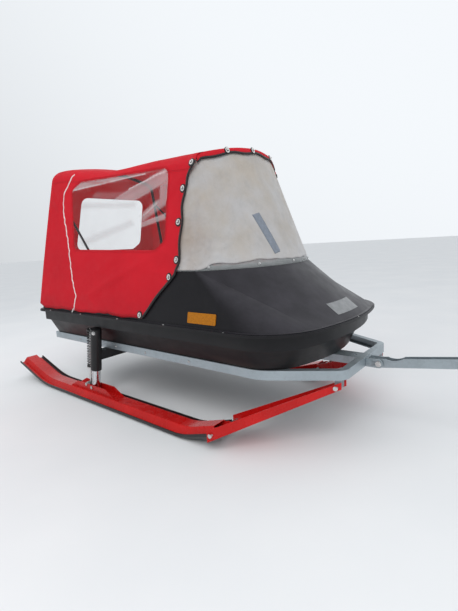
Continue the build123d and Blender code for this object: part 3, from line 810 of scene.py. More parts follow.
def build_canopy():
    """Builds the cloth, its three panes and the lower edge of the band over the windshield."""
    cloth = bmesh.new()
    panes = []

    def join(bm, offsets):
        """Moves a mapped mesh's vertices out and adds it to the cloth."""
        push_out(bm, offsets)
        mesh = bpy.data.meshes.new("part")
        bm.to_mesh(mesh)
        cloth.from_mesh(mesh)
        bpy.data.meshes.remove(mesh)

    window = side_window()

    def pane_move(x, z):
        edge = min((Vector((x, z)) - p).length for p in window)
        return wall_move(x, z) + smooth_step(edge, 0.0, 45.0) * fold_height(PANE_FOLDS, x, z) * 1.2

    for sign in SIDES:
        bm, _ = flat_grid(range(WALL_COLUMNS + 1), range(WALL_ROWS + 1), wall_point)
        inside = cut_window(bm, window)
        if sign > 0:
            bmesh.ops.reverse_faces(bm, faces=bm.faces)
        pane = take_pane(bm, inside)
        bmesh.ops.subdivide_edges(pane, edges=pane.edges, cuts=2, use_grid_fill=True)
        panes.append(mapped_pane(pane, on_wall_surface, sign, pane_move))
        join(bm, map_canopy(bm, on_wall_surface, sign, wall_move))

    across = range(-HALF_COLUMNS, HALF_COLUMNS + 1)
    bm, _ = flat_grid(across, range(WALL_ROWS + 1), rear_point, turn=True)
    pane = take_pane(bm, cut_window(bm, rounded_polygon(REAR_WINDOW, REAR_WINDOW_RADIUS)))
    panes.append(mapped_pane(pane, on_rear_surface, 1, lambda y, z: rear_move(y, z) * 0.5))
    join(bm, map_canopy(bm, on_rear_surface, 1, rear_move))

    bm, edge = flat_grid(across, range(WALL_COLUMNS + 1), roof_point)
    offsets = map_canopy(bm, on_roof_surface, 1, roof_move)
    bottom = hang_band(bm, edge)
    band = [v.co.copy() for v in bottom]
    join(bm, offsets + [0.0] * (len(bm.verts) - len(offsets)))
    bmesh.ops.remove_doubles(cloth, verts=cloth.verts, dist=0.0012)
    bmesh.ops.recalc_face_normals(cloth, faces=cloth.faces)
    return cloth, panes, band


# Finishes

class Finish:
    """A node material being put together round its shader."""

    def __init__(self, name, **values):
        self.material = bpy.data.materials.new(name)
        self.material.use_nodes = True
        self.tree = self.material.node_tree
        self.shader = self.tree.nodes["Principled BSDF"]
        self.here = self.put("TexCoord").outputs["Object"]
        for key, value in values.items():
            self.feed(key, value)

    def give(self, socket, value):
        """Links or sets a socket; a colour gets an alpha of one."""
        if isinstance(value, bpy.types.NodeSocket):
            self.tree.links.new(value, socket)
            return
        if isinstance(value, tuple) and len(value) < len(socket.default_value):
            value = (*value, 1.0)
        socket.default_value = value

    def feed(self, key, value):
        """Gives the shader an input; the key has underscores for spaces."""
        self.give(self.shader.inputs[key.replace("_", " ")], value)

    def put(self, kind, inputs=None, **settings):
        """A new node with its settings and inputs."""
        node = self.tree.nodes.new("ShaderNode" + kind)
        for key, value in settings.items():
            setattr(node, key, value)
        for key, value in (inputs or {}).items():
            self.give(node.inputs[key], value)
        return node

    def stretched(self, stretch):
        """The place on the piece, scaled by stretch if there is one."""
        if not stretch:
            return self.here
        return self.put("Mapping", {"Vector": self.here, "Scale": stretch}).outputs[0]

    def noise(self, scale, detail=3.0, rough=0.5, stretch=None):
        values = {"Vector": self.stretched(stretch), "Scale": scale, "Detail": detail, "Roughness": rough}
        return self.put("TexNoise", values).outputs[0]

    def patches(self, scale, low, high, detail=3.0, rough=0.5, stretch=None, to=(0.0, 1.0)):
        """Noise spread from low..high to the range to."""
        return self.map(self.noise(scale, detail, rough, stretch), low, high, *to)

    def cells(self, scale, feature="F1", stretch=None, output="Distance"):
        where = self.stretched(stretch)
        return self.put("TexVoronoi", {"Vector": where, "Scale": scale}, feature=feature).outputs[output]

    def waves(self, scale, direction):
        inputs = {"Vector": self.here, "Scale": scale, "Distortion": 0.0, "Detail": 1.0}
        return self.put("TexWave", inputs, bands_direction=direction).outputs[1]

    def map(self, value, low, high, to_low=0.0, to_high=1.0):
        return self.put("MapRange", {0: value, 1: low, 2: high, 3: to_low, 4: to_high}).outputs[0]

    def times(self, a, b):
        return self.put("Math", {0: a, 1: b}, operation="MULTIPLY").outputs[0]

    def plus(self, a, b):
        return self.put("Math", {0: a, 1: b}, operation="ADD").outputs[0]

    def mix(self, share, a, b):
        """Two colours mixed by a share."""
        return self.put("Mix", {0: share, 6: a, 7: b}, data_type="RGBA").outputs[2]

    def first(self, colour):
        """The first channel of a colour, as a grey."""
        return self.put("SeparateXYZ", {0: colour}).outputs[0]

    def bumps(self, *layers):
        """Bump from layers of (height, strength, distance), each on top of the one before."""
        inputs = {}
        for height, strength, distance in layers:
            inputs.update({"Height": height, "Strength": strength, "Distance": distance})
            inputs["Normal"] = self.put("Bump", inputs).outputs[0]
        self.feed("Normal", inputs["Normal"])

    def lit_through(self, share, colour):
        """Lets part of the light through, as thin cloth and film do."""
        through = self.put("BsdfTranslucent", {"Color": colour})
        both = self.put("MixShader", {0: share, 1: self.shader.outputs[0], 2: through.outputs[0]})
        self.tree.links.new(both.outputs[0], self.tree.nodes["Material Output"].inputs["Surface"])

    def place(self, axis):
        """Metres along an axis of the frame."""
        return self.put("SeparateXYZ", {0: self.here}).outputs[axis]

    def facing_up(self):
        """How far a surface faces up, from -1 to 1."""
        normal = self.put("NewGeometry").outputs["Normal"]
        return self.put("SeparateXYZ", {0: normal}).outputs["Z"]


def shade(colour, factor):
    """The colour made lighter or darker."""
    return tuple(min(c * factor, 1.0) for c in colour[:3])


def colours():
    return bpy.context.scene.sled_colours


# Each finish by its name, and the materials already made
FINISHES = {}
MADE = {}


def listed(make):
    """Lists a finish, whose material is made on its first use."""
    name = make.__name__

    def material():
        if name not in MADE:
            MADE[name] = make(name).material
        return MADE[name]
    FINISHES[name] = material
    return make


@listed
def black_plastic(name):
    base = tuple(colours().plastic)
    f = Finish(name, Roughness=0.42, Specular_IOR_Level=0.28)
    # Painted light: faces that look up and forward are made lighter grey, as the lit front of the hood looks, with
    # dust in patches on them
    up = f.map(f.facing_up(), 0.15, 0.8)
    dust_and_top_light = f.times(up, f.patches(9.0, 0.38, 0.72, 5.0, 0.62, to=(0.5, 1.0)))
    streak = f.patches(3.0, 0.45, 0.75, 4.0, 0.6, stretch=(1.0, 1.0, 5.0))
    low = f.times(f.map(f.place("Z"), 0.50, 0.36), streak)
    plain = f.mix(f.patches(38.0, 0.3, 0.7, 3.0), base, shade(base, 1.35))
    dusty_and_top_lit = f.mix(f.times(dust_and_top_light, 0.75), plain, shade(base, 8.0))
    f.feed("Base_Color", f.mix(f.times(low, 0.5), dusty_and_top_lit, (0.05, 0.043, 0.038)))
    f.feed("Roughness", f.patches(14.0, 0.3, 0.7, 4.0, to=(0.34, 0.46)))
    f.bumps((f.cells(620.0, "SMOOTH_F1"), 0.12, 0.0005), (f.noise(5.0, 2.0), 0.2, 0.004))
    return f


@listed
def red_cloth(name):
    base = tuple(colours().cloth)
    f = Finish(name, Roughness=0.6, Specular_IOR_Level=0.22)
    fade = f.mix(f.patches(2.2, 0.3, 0.7, 3.0), shade(base, 0.93), shade(base, 1.07))
    patch = f.mix(f.times(f.patches(11.0, 0.5, 0.8, 5.0, 0.65), 0.25), fade, shade(base, 0.8))
    soil = f.times(f.map(f.place("Z"), 0.66, 0.53), f.patches(7.0, 0.35, 0.75, 5.0, 0.7))
    f.feed("Base_Color", f.mix(f.times(soil, 0.4), patch, (0.2, 0.03, 0.035)))
    f.feed("Roughness", f.patches(25.0, 0.3, 0.7, 3.0, to=(0.5, 0.68)))
    weave = f.plus(f.times(f.waves(190.0, "X"), f.waves(190.0, "Z")), f.waves(190.0, "Y"))
    f.bumps((weave, 0.12, 0.0004), (f.noise(26.0, 4.0, 0.6), 0.22, 0.003), (f.noise(7.0, 3.0), 0.25, 0.008))
    f.lit_through(0.4, (0.95, 0.03, 0.045))
    return f


@listed
def black_webbing(name):
    f = Finish(name, Roughness=0.75, Sheen_Weight=0.1)
    f.feed("Base_Color", f.mix(f.noise(90.0), (0.009, 0.009, 0.01), (0.022, 0.02, 0.02)))
    f.bumps((f.plus(f.waves(230.0, "Z"), f.waves(230.0, "X")), 0.35, 0.0006))
    return f


@listed
def clear_vinyl(name):
    f = Finish(name, Roughness=0.1, Specular_IOR_Level=0.6, IOR=1.45)
    # Painted reflection: the streaks' sky glare makes the pane paler and less see-through
    haze = f.put("Attribute", attribute_name="haze").outputs["Fac"]
    cloud = f.patches(6.0, 0.35, 0.75, 4.0, 0.6, to=(0.03, 0.09))
    f.feed("Alpha", f.map(f.plus(f.times(haze, 0.55), cloud), 0.0, 0.85, 0.0, 0.85))
    f.feed("Base_Color", f.mix(haze, (0.62, 0.62, 0.64), (0.78, 0.74, 0.75)))
    f.feed("Roughness", f.patches(30.0, 0.3, 0.7, 3.0, to=(0.07, 0.16)))
    f.bumps((f.noise(9.0, 3.0, 0.55), 0.3, 0.008), (f.noise(60.0, 2.0), 0.08, 0.001))
    return f


@listed
def shield_clear(name):
    f = Finish(name, Roughness=0.08, IOR=1.5, Specular_IOR_Level=0.6)
    f.feed("Base_Color", f.mix(f.noise(12.0, 4.0), (0.26, 0.275, 0.275), (0.38, 0.395, 0.395)))
    f.feed("Alpha", f.patches(16.0, 0.3, 0.75, 5.0, 0.7, to=(0.55, 0.8)))
    f.feed("Roughness", f.patches(45.0, 0.3, 0.7, 4.0, to=(0.1, 0.3)))
    f.bumps((f.noise(80.0, 3.0), 0.05, 0.001))
    return f


@listed
def film_sheet(name):
    base = tuple(colours().film)
    f = Finish(name, Roughness=0.42, Specular_IOR_Level=0.45)
    y, z = f.place("Y"), f.place("Z")
    tan = (base[0] * 0.93, base[1] * 0.86, base[2] * 0.76)
    brown = f.mix(f.patches(4.5, 0.4, 0.66, 5.0, 0.6), base, tan)
    top = f.map(z, 1.10, 1.34)
    far = f.map(y, 0.0, 0.28)
    grime = f.times(f.times(top, far), f.patches(8.0, 0.35, 0.65, 4.0))
    left = f.times(f.map(y, -0.25, -0.42), f.patches(4.5, 0.4, 0.7, 4.0, 0.6, stretch=(1.0, 1.0, 0.4)))
    surface_tone = f.mix(f.times(grime, 0.85), brown, (0.44, 0.29, 0.13))
    surface_tone = f.mix(f.times(left, 0.6), surface_tone, (0.33, 0.25, 0.2))
    crease = f.cells(11.0, "DISTANCE_TO_EDGE", stretch=(1.0, 1.6, 0.7))
    lines = f.map(crease, 0.0, 0.02, 1.0, 0.0)
    grey = f.times(f.patches(17.0, 0.52, 0.72, 6.0, 0.7), 0.4)
    surface_tone = f.mix(grey, surface_tone, shade(base, 0.72))
    # Painted shade: thin darker lines along the film's creases, on top of its grime
    surface_tone = f.mix(f.times(lines, 0.1), surface_tone, shade(base, 0.68))
    low = f.map(z, 0.93, 0.80)
    f.feed("Base_Color", f.mix(f.times(low, 0.25), surface_tone, (0.62, 0.62, 0.63)))
    f.feed("Alpha", f.patches(14.0, 0.3, 0.75, 5.0, 0.65, to=(0.98, 0.88)))
    f.feed("Roughness", f.patches(20.0, 0.3, 0.7, 4.0, to=(0.3, 0.5)))
    f.bumps(
        (f.noise(16.0, 4.0, 0.6), 0.35, 0.006),
        (f.map(crease, 0.0, 0.06), 0.16, 0.002),
        (f.noise(70.0, 3.0), 0.15, 0.001),
    )
    return f


@listed
def label_blue(name):
    f = Finish(name, Roughness=0.45)
    f.feed("Base_Color", f.mix(f.noise(40.0, 5.0, 0.7), (0.17, 0.2, 0.25), (0.29, 0.32, 0.37)))
    f.feed("Alpha", f.patches(55.0, 0.3, 0.7, 4.0, 0.7, to=(0.92, 0.72)))
    f.bumps((f.noise(70.0, 3.0), 0.1, 0.001))
    return f


@listed
def black_steel(name):
    f = Finish(name, Roughness=0.38, Metallic=0.0, Specular_IOR_Level=0.36)
    surface_tone = f.patches(60.0, 0.62, 0.72, 6.0, 0.75)
    f.feed("Base_Color", f.mix(surface_tone, (0.012, 0.012, 0.013), (0.045, 0.04, 0.036)))
    f.feed("Roughness", f.patches(18.0, 0.3, 0.7, 4.0, to=(0.28, 0.5)))
    f.bumps((f.noise(220.0, 3.0), 0.12, 0.0006), (f.noise(24.0, 3.0), 0.12, 0.002))
    return f


@listed
def red_steel(name):
    base = tuple(colours().paint)
    f = Finish(name, Roughness=0.26, Coat_Weight=0.1, Coat_Roughness=0.08, Specular_IOR_Level=0.22)
    tint = f.mix(f.patches(6.0, 0.3, 0.7, 4.0), shade(base, 0.86), shade(base, 1.08))
    grime = f.times(f.patches(30.0, 0.56, 0.74, 6.0, 0.72), 0.45)
    snow = f.times(f.map(f.facing_up(), 0.4, 0.95), f.patches(75.0, 0.62, 0.74, 6.0, 0.75))
    dull = f.mix(grime, tint, shade(base, 0.5))
    f.feed("Base_Color", f.mix(f.times(snow, 0.35), dull, (0.75, 0.6, 0.6)))
    f.feed("Roughness", f.patches(22.0, 0.3, 0.7, 5.0, to=(0.18, 0.36)))
    f.bumps((f.noise(160.0, 2.0), 0.05, 0.0006), (f.noise(12.0, 3.0), 0.18, 0.003))
    return f


@listed
def sole_plastic(name):
    f = Finish(name, Roughness=0.5)
    scuff = f.patches(40.0, 0.55, 0.75, 6.0, 0.75, stretch=(0.25, 1.0, 1.0))
    f.feed("Base_Color", f.mix(f.times(scuff, 0.6), (0.012, 0.012, 0.013), (0.085, 0.085, 0.09)))
    f.feed("Roughness", f.map(scuff, 0.0, 1.0, 0.4, 0.7))
    f.bumps((f.noise(120.0, 4.0, 0.6, stretch=(0.2, 1.0, 1.0)), 0.3, 0.001))
    return f


@listed
def galvanised(name):
    base = tuple(colours().galvanised)
    f = Finish(name, Metallic=0.75, Roughness=0.42)
    grey = f.first(f.cells(85.0, output="Color"))
    cloud = f.mix(f.patches(7.0, 0.3, 0.7, 4.0), shade(base, 0.86), shade(base, 1.08))
    flake = f.mix(f.times(grey, 0.5), cloud, shade(base, 1.25))
    stain = f.times(f.patches(13.0, 0.55, 0.78, 6.0, 0.7), 0.5)
    f.feed("Base_Color", f.mix(stain, flake, shade(base, 0.55)))
    f.feed("Roughness", f.map(grey, 0.0, 1.0, 0.34, 0.52))
    f.bumps((grey, 0.06, 0.0005), (f.noise(40.0, 3.0), 0.1, 0.001))
    return f


@listed
def zinc(name):
    f = Finish(name, Metallic=0.95, Roughness=0.3)
    f.feed("Base_Color", f.mix(f.noise(50.0, 4.0), (0.5, 0.5, 0.5), (0.78, 0.77, 0.75)))
    f.feed("Roughness", f.patches(90.0, 0.3, 0.7, 4.0, to=(0.2, 0.42)))
    f.bumps((f.noise(300.0, 2.0), 0.06, 0.0003))
    return f


@listed
def chrome(name):
    f = Finish(name, Metallic=1.0, Roughness=0.12)
    f.feed("Base_Color", f.mix(f.patches(30.0, 0.5, 0.75, 6.0, 0.7), (0.75, 0.77, 0.79), (0.4, 0.4, 0.41)))
    f.feed("Roughness", f.patches(70.0, 0.35, 0.75, 5.0, 0.7, to=(0.08, 0.4)))
    return f


@listed
def spring_steel(name):
    f = Finish(name, Roughness=0.4, Metallic=0.25)
    f.feed("Base_Color", f.mix(f.patches(80.0, 0.5, 0.75, 5.0, 0.7), (0.03, 0.03, 0.032), (0.12, 0.11, 0.1)))
    f.bumps((f.noise(260.0, 3.0), 0.15, 0.0005))
    return f


@listed
def amber(name):
    base = tuple(colours().reflector)
    f = Finish(name, Roughness=0.2, Coat_Weight=0.2, Coat_Roughness=0.06, Specular_IOR_Level=0.3)
    prism = f.first(f.cells(210.0, output="Color"))
    f.feed("Base_Color", f.mix(f.times(prism, 0.6), base, shade(base, 0.62)))
    f.bumps((f.cells(210.0, "DISTANCE_TO_EDGE"), 0.4, 0.0012))
    return f


@listed
def grey_label(name):
    f = Finish(name, Roughness=0.4, Metallic=0.3)
    f.feed("Base_Color", f.mix(f.patches(34.0, 0.3, 0.75, 4.0, 0.6), (0.2, 0.205, 0.21), (0.29, 0.295, 0.3)))
    f.bumps((f.noise(200.0, 2.0), 0.06, 0.0004))
    return f


@listed
def black_vinyl(name):
    f = Finish(name, Roughness=0.5, Specular_IOR_Level=0.45)
    f.feed("Base_Color", f.mix(f.patches(9.0, 0.35, 0.7, 4.0), (0.016, 0.016, 0.018), (0.03, 0.029, 0.03)))
    f.feed("Roughness", f.patches(12.0, 0.3, 0.7, 4.0, to=(0.4, 0.58)))
    f.bumps((f.cells(260.0, "DISTANCE_TO_EDGE"), 0.35, 0.0008), (f.noise(18.0, 4.0), 0.2, 0.003))
    return f


@listed
def white_zip(name):
    f = Finish(name, Roughness=0.45)
    f.feed("Base_Color", f.mix(f.patches(60.0, 0.35, 0.7, 4.0), (0.86, 0.76, 0.76), (0.7, 0.58, 0.58)))
    f.bumps((f.noise(300.0, 2.0), 0.1, 0.0004))
    return f


@listed
def nickel(name):
    f = Finish(name, Metallic=0.6, Roughness=0.3)
    f.feed("Base_Color", f.mix(f.patches(70.0, 0.35, 0.7, 4.0), (0.78, 0.76, 0.74), (0.9, 0.89, 0.87)))
    f.feed("Roughness", f.patches(120.0, 0.3, 0.7, 3.0, to=(0.22, 0.4)))
    return f


@listed
def red_thread(name):
    base = tuple(colours().cloth)
    f = Finish(name, Roughness=0.7)
    f.feed("Base_Color", f.mix(f.noise(400.0), shade(base, 0.55), shade(base, 0.8)))
    f.bumps((f.waves(600.0, "DIAGONAL"), 0.4, 0.0003))
    return f


def dress_node(name, finish, bevel=0.0, segments=2):
    """A CAD node's material, and its edges rounded by bevel millimetres."""
    obj = NODES[name]
    set_finish(obj, finish)
    if bevel:
        modifier(obj, "WELD", merge_threshold=0.00005)
        modifier(
            obj, "BEVEL", width=bevel / 1000, segments=segments, limit_method="ANGLE",
            angle_limit=math.radians(28), harden_normals=True, use_clamp_overlap=True,
        )
        modifier(obj, "WEIGHTED_NORMAL", keep_sharp=True, weight=60)


def pane_piece(node, bm, flat, table):
    """A window pane, with the painted sky reflections of its streaks kept as an attribute of its points."""
    bmesh.ops.recalc_face_normals(bm, faces=bm.faces)
    obj = from_bmesh(f"{node}_pane", bm, "clear_vinyl")
    values = obj.data.attributes.new("haze", "FLOAT", "POINT")
    for item, point in zip(values.data, flat):
        item.value = streak_haze(table, point)
    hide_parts(node)
    return obj


def streak_haze(table, point):
    """Strength of the streaks' painted sky reflections at a flat point: convex outlines with soft edges."""
    haze = 0.0
    for corners, strength, soft in table:
        inside = 1.0
        for a, _, out, _ in polygon_sides([Vector(p) for p in corners]):
            inside = min(inside, smooth_step((point - a).dot(out), soft, -soft * 0.4))
        haze = max(haze, inside * strength)
    return haze


# Bright streaks on the side window, sky reflections painted into the pane where its slack vinyl turns to the sky:
# corners, strength, softness
SIDE_STREAKS = (
    (((-612, 1288), (60, 1286), (60, 1280), (-612, 1280)), 1.0, 3.0),
    (((-604, 1288), (-520, 1318), (-300, 1306), (0, 1288)), 0.62, 9.0),
    (((206, 1284), (226, 1262), (230, 1226), (-16, 1158), (-200, 1176)), 0.58, 9.0),
    (((216, 1276), (222, 1268), (-60, 1216), (-66, 1221)), 0.95, 3.0),
    (((226, 1250), (234, 1112), (190, 1096), (172, 1206)), 0.5, 9.0),
    (((210, 1150), (232, 1112), (50, 1034), (36, 1072), (150, 1130)), 0.52, 8.0),
    (((232, 1066), (230, 1040), (46, 1010), (60, 1034)), 0.6, 6.0),
    (((160, 1128), (166, 1120), (70, 1064), (62, 1070)), 0.8, 3.0),
    (((-360, 1236), (-120, 1206), (-210, 1188), (-400, 1214)), 0.2, 14.0),
    (((-40, 1046), (-60, 1028), (-400, 984), (-390, 1000)), 0.3, 10.0),
)
# Painted reflections of the sky on the rear window, as on the side window
REAR_STREAKS = (
    (((-220, 1240), (300, 1270), (280, 1240), (-200, 1215)), 0.35, 20.0),
    (((-180, 980), (260, 1130), (280, 1100), (-160, 950)), 0.3, 24.0),
)


def surface_frame(sign, x, z):
    """Place, outward normal and upward direction of a point on the canopy's side."""
    here, ahead, above = wall_places(sign, ((x, z), (x + 4, z), (x, z + 4)))
    across, up = (ahead - here).normalized(), (above - here).normalized()
    normal = across.cross(up).normalized()
    return here, -normal if normal.y * here.y < 0 else normal, up


# Profiles of a turn button's turned pieces: distance along the axis and radius, in metres
BUTTON_PAD = ((0.0, 0.0), (0.0034, 0.0), (0.0042, -0.0008), (0.0044, -0.0030))
BUTTON_PLATE = (
    (0.0, 0.0140), (0.0020, 0.0143), (0.0031, 0.0134), (0.0034, 0.0112), (0.0026, 0.0082), (0.0, 0.0076),
)
BUTTON_STEM = ((0.0, 0.0036), (0.0050, 0.0034), (0.0052, 0.0030))
BUTTON_GRIP = ((0.0, 0.0050), (0.0008, 0.0060), (0.0030, 0.0062), (0.0040, 0.0052), (0.0042, 0.0026))
SIDE_PAD_RADIUS, BAND_PAD_RADIUS = 0.0208, 0.0176


def add_button(meshes, here, normal, up, pad_radius):
    """A turn button: black backing, bright oval plate with a hole, and the turned knob in it."""
    side = up.cross(normal).normalized()
    pad = [(along, pad_radius + less) for along, less in BUTTON_PAD]
    turned(meshes["backing"], here + normal * -0.0015, normal, pad, 28, up, 0.86)
    start = here + normal * 0.0026
    plate = [
        add_ring(meshes["plates"], start + normal * along, normal, up, wide, 28, 0.78) for along, wide in BUTTON_PLATE
    ]
    for low, high in zip(plate, plate[1:]):
        bridge(meshes["plates"], low, high)
    turned(meshes["knobs"], start, normal, BUTTON_STEM, 14, up, 0.8)
    turned(meshes["knobs"], start + normal * 0.0050, normal, BUTTON_GRIP, 18, side, 0.42)


# A stitch: share of its length, height and half width of its sections, in metres
STITCH_SECTIONS = ((0.0, -0.0002, 0.0003), (0.18, 0.0005, 0.0006), (0.82, 0.0005, 0.0006), (1.0, -0.0002, 0.0003))
STITCH_CORNERS = ((-1, -1), (1, -1), (0.6, 1), (-0.6, 1))
STITCH_PITCH, STITCH_LENGTH = 0.007, 0.0048


def add_stitches(bm, points, normal):
    """Short raised threads along a line."""
    for a, b in zip(points, points[1:]):
        if (b - a).length < 1e-6:
            continue
        axis = (b - a).normalized()
        side = axis.cross(normal).normalized()
        start = a + axis * (STITCH_PITCH - STITCH_LENGTH) / 2
        rings = []
        for along, high, wide in STITCH_SECTIONS:
            centre = start + axis * (STITCH_LENGTH * along) + normal * (high + 0.0003)
            rings.append([
                bm.verts.new(centre + side * (wide * across) + normal * (wide * 0.8 * up))
                for across, up in STITCH_CORNERS
            ])
        for low, high in zip(rings, rings[1:]):
            bridge(bm, low, high)


def front_line(step):
    """Flat points of the canopy side's front edge, from the hem up, with their inward directions."""
    points = []
    z = hem_z(95.0)
    while z < 1302.0:
        points.append(Vector((front_edge_x(z), z)))
        z += step
    return list(zip(points, square_to(points)))


# Steps along the edging and between stitches, and rows of stitches: below the shoulder and round a window
EDGING_STEP = 6.0
STITCH_STEP = 7
SHOULDER_DROPS = (26.0, 32.0)
HEM_RISE = 15.0
WINDOW_SEAMS = (5.0, 11.0)
# How far the edging stands out of the cloth's edge
EDGING_OUT = 2.0
# y of the buttons on the band over the windshield, and their height above its lower edge
BAND_BUTTONS = (-194.0, -31.0, 172.0)
BAND_BUTTON_RISE = 0.0155
# A zip's section: share of its half width, and lift off the cloth
ZIP_SECTION = ((-1.0, 0.3), (-0.8, 1.1), (0.8, 1.1), (1.0, 0.3), (1.0, -0.8), (-1.0, -0.8))
# A zip's tooth: distance across the zip and share of its full size
ZIP_TOOTH = ((-0.0021, 0.7), (-0.0012, 1.0), (0.0012, 1.0), (0.0021, 0.7))
TOOTH_HALF = 0.0009
TOOTH_CORNERS = ((-1, -1), (1, -1), (1, 1), (-1, 1))
SLIDER = ((0.0, 0.0050), (0.003, 0.0056), (0.0046, 0.0046), (0.005, 0.002))
SLIDER_PULL = ((0.0, 0.011), (0.0006, 0.0115), (0.0014, 0.0112), (0.0016, 0.010))
# The trims' names and finishes
TRIMS = {
    "edging": ("canopy_edging", "black_webbing"),
    "backing": ("button_backing", "black_webbing"),
    "plates": ("button_plates", "nickel"),
    "knobs": ("button_knobs", "nickel"),
    "tapes": ("zip_tapes", "white_zip"),
    "teeth": ("zip_teeth", "white_zip"),
    "sliders": ("zip_sliders", "nickel"),
    "threads": ("canopy_stitching", "red_thread"),
}


class SLED_OT_canopy(bpy.types.Operator):
    """Red cloth canopy with its clear panes, edging, turn buttons, zips and stitching"""

    bl_idname = "sled.canopy"
    bl_label = "Canopy"

    def execute(self, context):
        sizes = context.scene.sled_sizes
        cloth, panes, band = build_canopy()
        canopy = from_bmesh("canopy_cloth", cloth, "red_cloth")
        thicken(canopy, sizes.cloth_thickness)
        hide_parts("canopy")
        windows = (
            ("side_window_right", SIDE_STREAKS, (0.86, 0.44)),
            ("side_window_left", SIDE_STREAKS, (0.86, 0.44)),
            ("rear_window", REAR_STREAKS, (0.6, 0.4)),
        )
        made = [pane_piece(node, *pane, table) for (node, table, _), pane in zip(windows, panes)]
        with_canopy = self.trims(band, sizes)
        for obj in with_canopy:
            obj.parent = canopy
            obj.matrix_parent_inverse = Matrix.Identity(4)
        return {"FINISHED"}

    def trims(self, band, sizes):
        """The edging, buttons, zips and stitches, each kind as one piece."""
        meshes = {kind: bmesh.new() for kind in TRIMS}
        wide = sizes.edging_width * 1000
        for sign in SIDES:
            self.side_edging(sign, meshes["edging"], wide)
            for x, z in BUTTONS:
                add_button(meshes, *surface_frame(sign, x, z), SIDE_PAD_RADIUS)
            self.zip(sign, meshes, sizes)
            self.side_seams(sign, meshes["threads"], wide)
        for sign in SIDES:
            for distance in WINDOW_SEAMS:
                loop = even_loop(grown(side_window(), distance), STITCH_STEP)
                add_stitches(meshes["threads"], wall_places(sign, loop, 0.4), wall_out(sign))
        self.band(band, meshes, wide / 1000)
        return [from_bmesh(name, meshes[kind], finish) for kind, (name, finish) in TRIMS.items()]

    def side_edging(self, sign, edging, wide):
        """The tape along the front edge of one side."""
        corners = ((-EDGING_OUT, 1.4), (wide, 1.2), (wide, -3.0), (-EDGING_OUT, -3.0))
        line = front_line(EDGING_STEP)
        add_bar(edging, list(zip(*(
            wall_places(sign, [p + inward * along for p, inward in line], lift) for along, lift in corners
        ))))

    def side_seams(self, sign, threads, wide):
        """Stitches along the front edge, the shoulder and the hem of one side."""
        out = wall_out(sign)
        front = [p + inward * (wide - 2.5) for p, inward in front_line(STITCH_STEP)]
        add_stitches(threads, wall_places(sign, front, 1.3), out)
        shoulder = [(x, along_table(ROOF, x)[0] - CANOPY_ROUND * 0.8) for x in range(-835, 372, STITCH_STEP)]
        for drop in SHOULDER_DROPS:
            add_stitches(threads, wall_places(sign, [(x, z - drop) for x, z in shoulder], 0.4), out)
        hem = [(x, hem_z(x) + HEM_RISE) for x in range(-1030, 72, STITCH_STEP)]
        add_stitches(threads, wall_places(sign, hem, 0.4), out)

    def band(self, bottom, meshes, wide):
        """Edging and buttons of the band over the windshield."""
        points = [p for p in bottom if abs(p.y) < BAND_HALF / 1000]
        sections = []
        up = Vector((-0.3, 0.0, 1.0)).normalized()
        for i, p in enumerate(points):
            out = self.forward(points, i)
            outer, inner = p + out * 0.0014, p - out * 0.003
            sections.append((outer - up * 0.002, outer + up * wide, inner + up * wide, inner - up * 0.002))
        add_bar(meshes["edging"], sections)
        for y in BAND_BUTTONS:
            i = min(range(len(points)), key=lambda k: abs(points[k].y - y / 1000))
            out = self.forward(points, i)
            normal = (out + Vector((0.0, 0.0, 0.3))).normalized()
            rise = square_part(square_part(Vector((-0.32, 0.0, 1.0)), out), normal)
            place = points[i] + rise * BAND_BUTTON_RISE + normal * 0.0005
            add_button(meshes, place, normal, rise, BAND_PAD_RADIUS)

    def forward(self, points, i):
        """Level direction square to the band's edge, to the front."""
        behind, ahead = before_and_after(points, i)
        run = ahead - behind
        return away(Vector((run.y, -run.x, 0.0)).normalized(), Vector((1.0, 0.0, 0.0)))

    def zip(self, sign, meshes, sizes):
        """A zip's tape, teeth and slider down one side."""
        flat = [
            Vector((p.x + 2.2 * math.sin(p.y / 11.0) + 1.6 * math.sin(p.y / 6.3 + 1.0), p.y))
            for p in resampled(smooth_line([Vector((x, z, 0.0)) for x, z in ZIP], 8), 3.0)
        ]
        half = sizes.zip_width * 500
        side = square_to(flat)
        add_bar(meshes["tapes"], list(zip(*(
            wall_places(sign, [p + across * (share * half) for p, across in zip(flat, side)], lift)
            for share, lift in ZIP_SECTION
        ))))
        middle = wall_places(sign, flat, 1.2)
        out = wall_out(sign, 0.16)
        for i in range(1, len(middle) - 1):
            self.tooth(meshes["teeth"], middle[i - 1:i + 2], out, 1 if i % 2 else -1)
        here = middle[-3]
        axis = (middle[-1] - middle[-4]).normalized()
        turned(meshes["sliders"], here + out * 0.0005, out, SLIDER, 16, axis, 0.75)
        turned(meshes["sliders"], here + axis * 0.012 + out * 0.003, out, SLIDER_PULL, 20, axis, 0.4)

    def tooth(self, teeth, places, out, way):
        """One tooth, a little to one side of the zip's middle."""
        behind, here, ahead = places
        axis = (ahead - behind).normalized()
        across = axis.cross(out).normalized()
        centre = here + across * (TOOTH_HALF * way)
        add_bar(teeth, [
            [centre + across * along + (axis * a + out * b) * (TOOTH_HALF * size) for a, b in TOOTH_CORNERS]
            for along, size in ZIP_TOOTH
        ])


# The film's lower edge across the windshield: y, z
FILM_LOW_EDGE = (
    (-520, 786),
    (-455, 788),
    (-432, 797),
    (-405, 813),
    (-317, 809),
    (-248, 819),
    (-158, 815),
    (0, 809),
    (217, 811),
    (360, 816),
    (455, 800),
    (520, 790),
)


